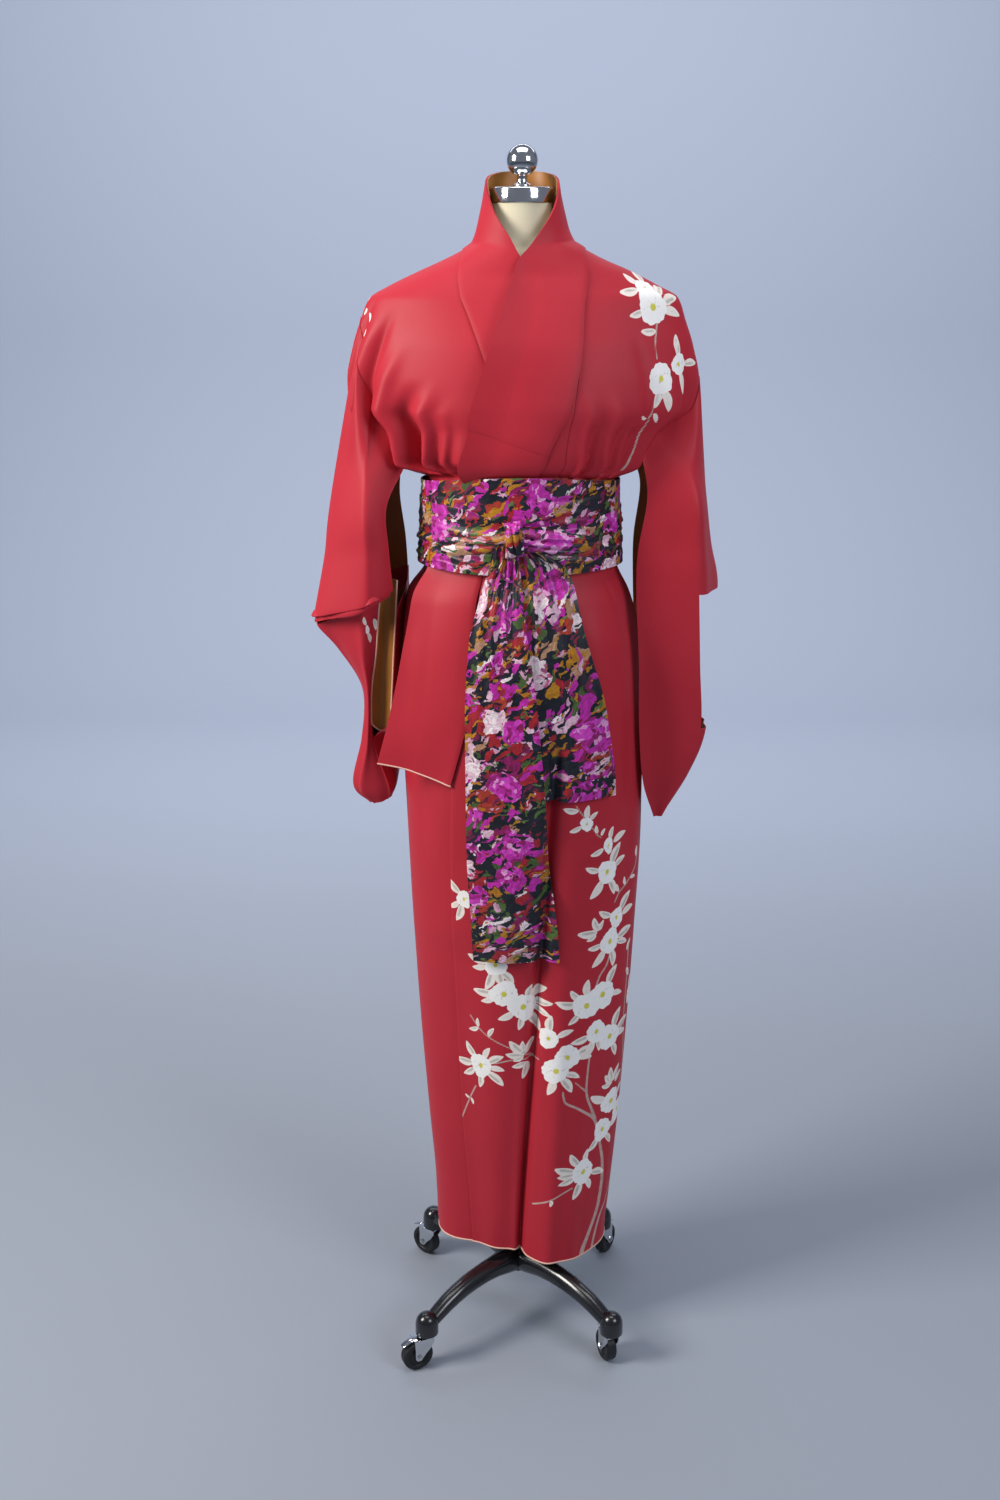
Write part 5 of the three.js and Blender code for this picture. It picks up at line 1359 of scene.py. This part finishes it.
def drawn(name, sides, sections, facing=(0, 0, 0)):
    """A closed solid drawn out of a disc, ring after ring. Each section is the middle of the ring and
    its size along X, Y and Z, in millimetres. facing turns the disc."""
    bpy.ops.object.select_all(action="DESELECT")
    (middle, size), *others = sections
    bpy.ops.mesh.primitive_circle_add(vertices=sides, radius=MM, fill_type="NGON",
                                      location=Vector(middle) * MM, rotation=facing)
    made = bpy.context.object
    made.name = made.data.name = name
    bpy.ops.object.mode_set(mode="EDIT")
    bpy.ops.mesh.select_all(action="SELECT")
    bpy.ops.transform.resize(value=size, center_override=Vector(middle) * MM)
    for place, wanted in others:
        step = (Vector(place) - Vector(middle)) * MM
        bpy.ops.mesh.extrude_region_move(TRANSFORM_OT_translate={"value": step})
        bpy.ops.transform.resize(value=[new / old for new, old in zip(wanted, size)],
                                 center_override=Vector(place) * MM)
        middle, size = place, wanted
    bpy.ops.mesh.select_all(action="SELECT")
    bpy.ops.mesh.normals_make_consistent(inside=False)
    bpy.ops.object.mode_set(mode="OBJECT")
    apply_place(made)
    return made


def turned(name, sides, profile, place=(0, 0)):
    """A solid turned round an upright axis at place, from (radius, height) points."""
    return drawn(name, sides, [((*place, height), (radius, radius, 1)) for radius, height in profile])


def softened(made, width):
    """Rounds the edges."""
    select_only(made)
    bevel = made.modifiers.new("soft edges", "BEVEL")
    bevel.width = width * MM
    bevel.segments = 2
    bpy.ops.object.modifier_apply(modifier=bevel.name)
    return made


def joined(*parts):
    select_only(parts[0])
    for part in parts[1:]:
        part.select_set(True)
    bpy.ops.object.join()
    return parts[0]


def finished(made, material, slot, body, *nodes):
    apply_place(made)
    bpy.ops.object.shade_smooth_by_angle(angle=math.radians(38))
    made.data.materials.clear()
    made.data.materials.append(material)
    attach(made, body)
    if nodes:
        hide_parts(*nodes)


def copied(model, name, place, heading):
    """A copy with a mesh of its own, turned to its heading and put in place."""
    made = model.copy()
    made.data = model.data.copy()
    made.name = made.data.name = name
    bpy.context.scene.collection.objects.link(made)
    turn = Matrix.Rotation(math.radians(heading), 4, "Z")
    made.matrix_world = Matrix.Translation(Vector((*place, 0)) * MM) @ turn
    return made


def build_top():
    """The neck cap, the stem and the ball, turned and plated."""
    ball = [(20.5 * math.cos(math.radians(d)), 1743.5 + 20.5 * math.sin(math.radians(d)))
            for d in (*np.linspace(-59.5, 86, 36), 89.5)]
    for node, sides, profile in (
        ("neck_cap", 96, [(40.6, 1691.3), (41.3, 1692), (41.4, 1693), (41.4, 1708.6), (41.1, 1709.8),
                          (40.2, 1710.6), (38.6, 1711), (13, 1711)]),
        ("finial_stem", 48, [(11.6, 1711.3), (12, 1711.8), (12, 1713.6), (11.4, 1714.3), (9, 1715),
                             (7.6, 1715.9), (7, 1717.4), (6.8, 1720), (7, 1723), (7.6, 1725.4)]),
        ("finial_ball", 64, ball),
    ):
        made = turned(node + "_plated", sides, profile, tuple(AXIS[:2] / MM))
        finished(made, CHROME, "chrome", "stand", node)


ALONG_X, ALONG_Y = (0, math.pi / 2, 0), (math.pi / 2, 0, 0)  # turns of a disc to face along an axis
POLE_FORWARD = 30  # the pole stands this far in front of the neck
WHEEL_R = 24
TRAIL = 17  # from a caster's swivel axis back to its axle
BASE_HALF = 140.0  # half the side of the square that the casters stand on
BOLT_HEADING = -118  # degrees, in front and to the wearer's right
CASTERS = {"front_right": (-1, -1, -155), "front_left": (1, -1, 110), "back_right": (-1, 1, 140),
           "back_left": (1, 1, 60)}  # side, front or back, and heading


def model_leg():
    """A cast leg, arched and growing wider into the hub, drawn out along +X."""
    sections = [
        (4, 98, 19, 21), (24, 99, 19, 20.5), (38, 100.5, 17.5, 19), (54, 102, 16, 17.2),
        (76, 102.5, 15, 16), (98, 101.3, 14.4, 15.4), (120, 98.4, 14, 14.9), (140, 93.8, 13.7, 14.4),
        (158, 88, 13.3, 14), (173, 81.6, 12.8, 13.4), (186, 75.4, 12.2, 12.6)]
    return drawn("leg", 28, [((d, 0, z), (1, wide, tall)) for d, z, wide, tall in sections], ALONG_X)


def model_caster():
    """A caster with its heading along +X: the cap over the swivel, the fork, the wheel and the lever."""
    cap = turned("caster_cap", 48, [
        (16.6, 57.5), (17.3, 58), (17.5, 59), (17.5, 71), (17.3, 75), (16.6, 79), (15.2, 83), (13, 86.4),
        (10, 89.2), (6.4, 91.2), (2.6, 92)])
    square, corner = (0, 0, math.pi / 4), math.sqrt(2)
    cheek = [(8, 52.6, 15.8), (8, 46, 15.8), (10.5, 36, 12.6), (14.5, 28, 8.8), (16.6, 22.6, 6.6),
             (17, 19.4, 4.8), (17, 17.4, 2.6)]
    plates = [
        drawn("cheek", 4, [((x, y, z), (wide * corner, corner, 1)) for x, z, wide in cheek], square)
        for y in (9.8, -9.8)]
    crown = [((8, 0, z), (15.9 * corner, 10.75 * corner, 1)) for z in (50.5, 53)]
    plates.append(drawn("crown", 4, crown, square))
    race = turned("race", 40, [(8.6, 52.8), (9.2, 53.3), (9.2, 54.6), (8.3, 55), (8.3, 55.8), (9, 56.2),
                               (8.7, 57.1)])
    nut = [(10.6, 4.4), (12.4, 4.4), (13, 3.8), (13, 2.2), (14, 2.2), (14.3, 1.6)]
    nuts = [drawn("nut", 6, [((TRAIL, side * y, WHEEL_R), (r, 1, r)) for y, r in nut], ALONG_Y)
            for side in (1, -1)]
    fork = joined(*[softened(plate, 0.55) for plate in plates], race, *nuts)
    tread = [(4.6, 8.45), (5.6, 8.3), (6.2, 7.2), (7.2, 6.2), (13.6, 5.6), (14.8, 6), (15.6, 7.4),
             (16.8, 8.2), (19.4, 8.5), (21.8, 8.1), (23.2, 7), (23.9, 5.2), (WHEEL_R, 3.4), (23.7, 0.9)]
    tread += [(23.5, 0)] + [(r, -y) for r, y in tread[::-1]]
    wheel = drawn("wheel", 56, [((TRAIL, y, WHEEL_R), (r, 1, r)) for r, y in tread], ALONG_Y)
    pedal = [
        (24.4, 52.2, 5.4, 1.6), (25.4, 52, 5.9, 2), (29.5, 50.8, 6, 2), (33.5, 48.9, 6.1, 1.9),
        (37.5, 46.7, 6.2, 1.8), (40.2, 45.4, 5.6, 1.6), (41.6, 44.8, 4.2, 1.2), (42.2, 44.5, 2.4, 0.7)]
    lever = drawn("lever", 20, [((x, 0, z), (1, wide, tall)) for x, z, wide, tall in pedal], ALONG_X)
    return cap, fork, wheel, lever


def build_base():
    """The hub with its clamping bolt, the four legs and the four casters."""
    hub_place = AXIS[:2] / MM - [0, POLE_FORWARD]
    hub = turned("hub", 64, [
        (12, 79), (17, 79.6), (20.6, 81.5), (22.6, 85.5), (23.6, 91), (23.4, 98), (22.2, 103.6),
        (20, 108), (17.6, 110.8), (16.6, 112), (16.3, 113.6), (15.9, 114)])
    screw = drawn("bolt", 24, [((d, 0, 103), (1, r, r)) for d, r in (
        (14, 4), (25, 4), (25.4, 6.8), (26, 7.4), (30.4, 7.4), (31.2, 6.8), (31.5, 5.6))], ALONG_X)
    bolt = copied(screw, "clamping_bolt", (0, 0), BOLT_HEADING)
    apply_place(bolt)
    hub = joined(hub, bolt)
    hub.name = hub.data.name = "base_hub_cast"
    hub.location = Vector((*hub_place, 0)) * MM
    finished(hub, ENAMEL, "black_enamel", "stand", "base_hub")
    leg = model_leg()
    cap, fork, wheel, lever = model_caster()
    for name, (side, back, heading) in CASTERS.items():
        place = hub_place + [side * BASE_HALF, back * BASE_HALF]
        outwards = math.degrees(math.atan2(back, side))
        for model, node, made_as, at, turn, material, slot, body in (
            (leg, "leg_", "cast_", hub_place, outwards, ENAMEL, "black_enamel", "stand"),
            (cap, "caster_cap_", "cast_", place, 0, ENAMEL, "black_enamel", "stand"),
            (fork, "fork_", "plated_", place, heading, CHROME, "chrome", "caster_" + name),
            (wheel, "wheel_", "moulded_", place, heading, RUBBER, "wheel_rubber", "roller_" + name),
            (lever, "brake_lever_", "plated_", place, heading, CHROME, "chrome", "caster_" + name),
        ):
            finished(copied(model, node + made_as + name, at, turn), material, slot, body, node + name)
    for model in (screw, leg, cap, fork, wheel, lever):
        bpy.data.objects.remove(model)


def finish_nodes():
    """The CAD node that stays, the pole, takes the finish of its real material."""
    for name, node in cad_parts.items():
        if not node.hide_render:
            node.data.materials.clear()
            node.data.materials.append(CHROME)


# ---------------------------------------------------------------- studio

CAMERA_PLACE = (-0.029, -2.332, 1.707)  # metres from the form's axis, and from the floor
CAMERA_PITCH = 18.34  # degrees below level
FOCAL_LENGTH, FRAME_HEIGHT = 1690, 1500  # pixels


def build_stage():
    stage = bpy.data.collections.new("studio")
    bpy.context.scene.collection.children.link(stage)
    # Matt painted paper: pale, even and without a shine. Painted light makes it darker on the floor in
    # front and a little lighter towards the back and the top.
    material, tree, shader = new_material("studio paper, with painted light", Roughness=0.9, Specular_IOR_Level=0.2)
    place = add(tree, "TexCoord").outputs["Object"]
    sides = add(tree, "SeparateXYZ", {0: place}).outputs
    height = add(tree, "Math", {0: sides["Y"], 1: 0.3, 2: sides["Z"]}, operation="MULTIPLY_ADD")
    rise = add(tree, "MapRange",
               {"Value": height, "From Min": 0.1, "From Max": 0.9},
               interpolation_type="SMOOTHSTEP").outputs[0]
    # painted light: the darker tint is painted shade on the floor in front, the lighter one the lit wall
    # behind
    tint = add(tree, "Mix", {0: rise, 6: colour("#959CA7"), 7: colour("#BAC3D3")}, data_type="RGBA")
    tree.links.new(tint.outputs[2], shader.inputs["Base Color"])
    # floor and wall in one sweep: distance behind the form, and height
    half_width, curve_starts, radius = 9.0, 3.2, 1.2
    sweep = [(-half_width, 0.0), (curve_starts, 0.0)]
    sweep += [(curve_starts + radius * math.sin(t), radius - radius * math.cos(t))
              for t in np.linspace(0.1, math.pi / 2, 14)]
    sweep += [(curve_starts + radius, 6.0)]
    vertices = [(x, y, z) for x in (-half_width, half_width) for y, z in sweep]
    count = len(sweep)
    faces = [(count + k, count + k + 1, k + 1, k) for k in range(count - 1)]
    mesh = bpy.data.meshes.new("studio_sweep")
    mesh.from_pydata(vertices, [], faces)
    mesh.materials.append(material)
    mesh.polygons.foreach_set("use_smooth", np.ones(len(mesh.polygons), bool))
    floor = bpy.data.objects.new("studio_sweep", mesh)
    stage.objects.link(floor)

    for name, place, target, size, watts, tint in (
        ("key_left", (-2.3, -0.95, 2.35), (0, 0, 1.3), (0.9, 1.3), 84, "#FFFAF4"),
        ("fill_right", (1.9, -1.9, 2.3), (0, 0, 1.35), (1.2, 1.2), 33, "#F2F5FF"),
        ("top", (0, -0.2, 3.2), (0, 0, 0.8), (1.6, 1.0), 20, "#FFFFFF"),
        ("wall_wash", (0, 2.2, 3.4), (0, 3.6, 0.2), (5.0, 0.8), 74, "#F8F9FF"),
    ):
        data = bpy.data.lights.new(name, "AREA")
        data.shape = "RECTANGLE"
        data.size, data.size_y = size
        data.energy = watts
        data.color = colour(tint)[:3]
        lamp = bpy.data.objects.new(name, data)
        lamp.location = place
        lamp.rotation_euler = (Vector(target) - Vector(place)).to_track_quat("-Z", "Y").to_euler()
        stage.objects.link(lamp)
    world = bpy.data.worlds.new("studio air")
    world.use_nodes = True
    back = world.node_tree.nodes["Background"]
    back.inputs["Color"].default_value = colour("#B4BBCB")
    back.inputs["Strength"].default_value = 0.4
    bpy.context.scene.world = world
    bpy.context.scene.view_settings.view_transform = "Standard"

    camera = bpy.data.cameras.new("camera")
    camera.sensor_width = 36
    camera.lens = FOCAL_LENGTH * camera.sensor_width / FRAME_HEIGHT
    seat = bpy.data.objects.new("camera", camera)
    seat.location = (AXIS[0] + CAMERA_PLACE[0], AXIS[1] + CAMERA_PLACE[1], CAMERA_PLACE[2])
    seat.rotation_euler = (math.radians(90 - CAMERA_PITCH), 0, 0)
    stage.objects.link(seat)
    bpy.context.scene.camera = seat


build_stage()
build_hem()
build_panels()
build_collar()
build_sleeves()
build_sash()
build_knot()
build_form()
build_top()
build_base()
finish_nodes()
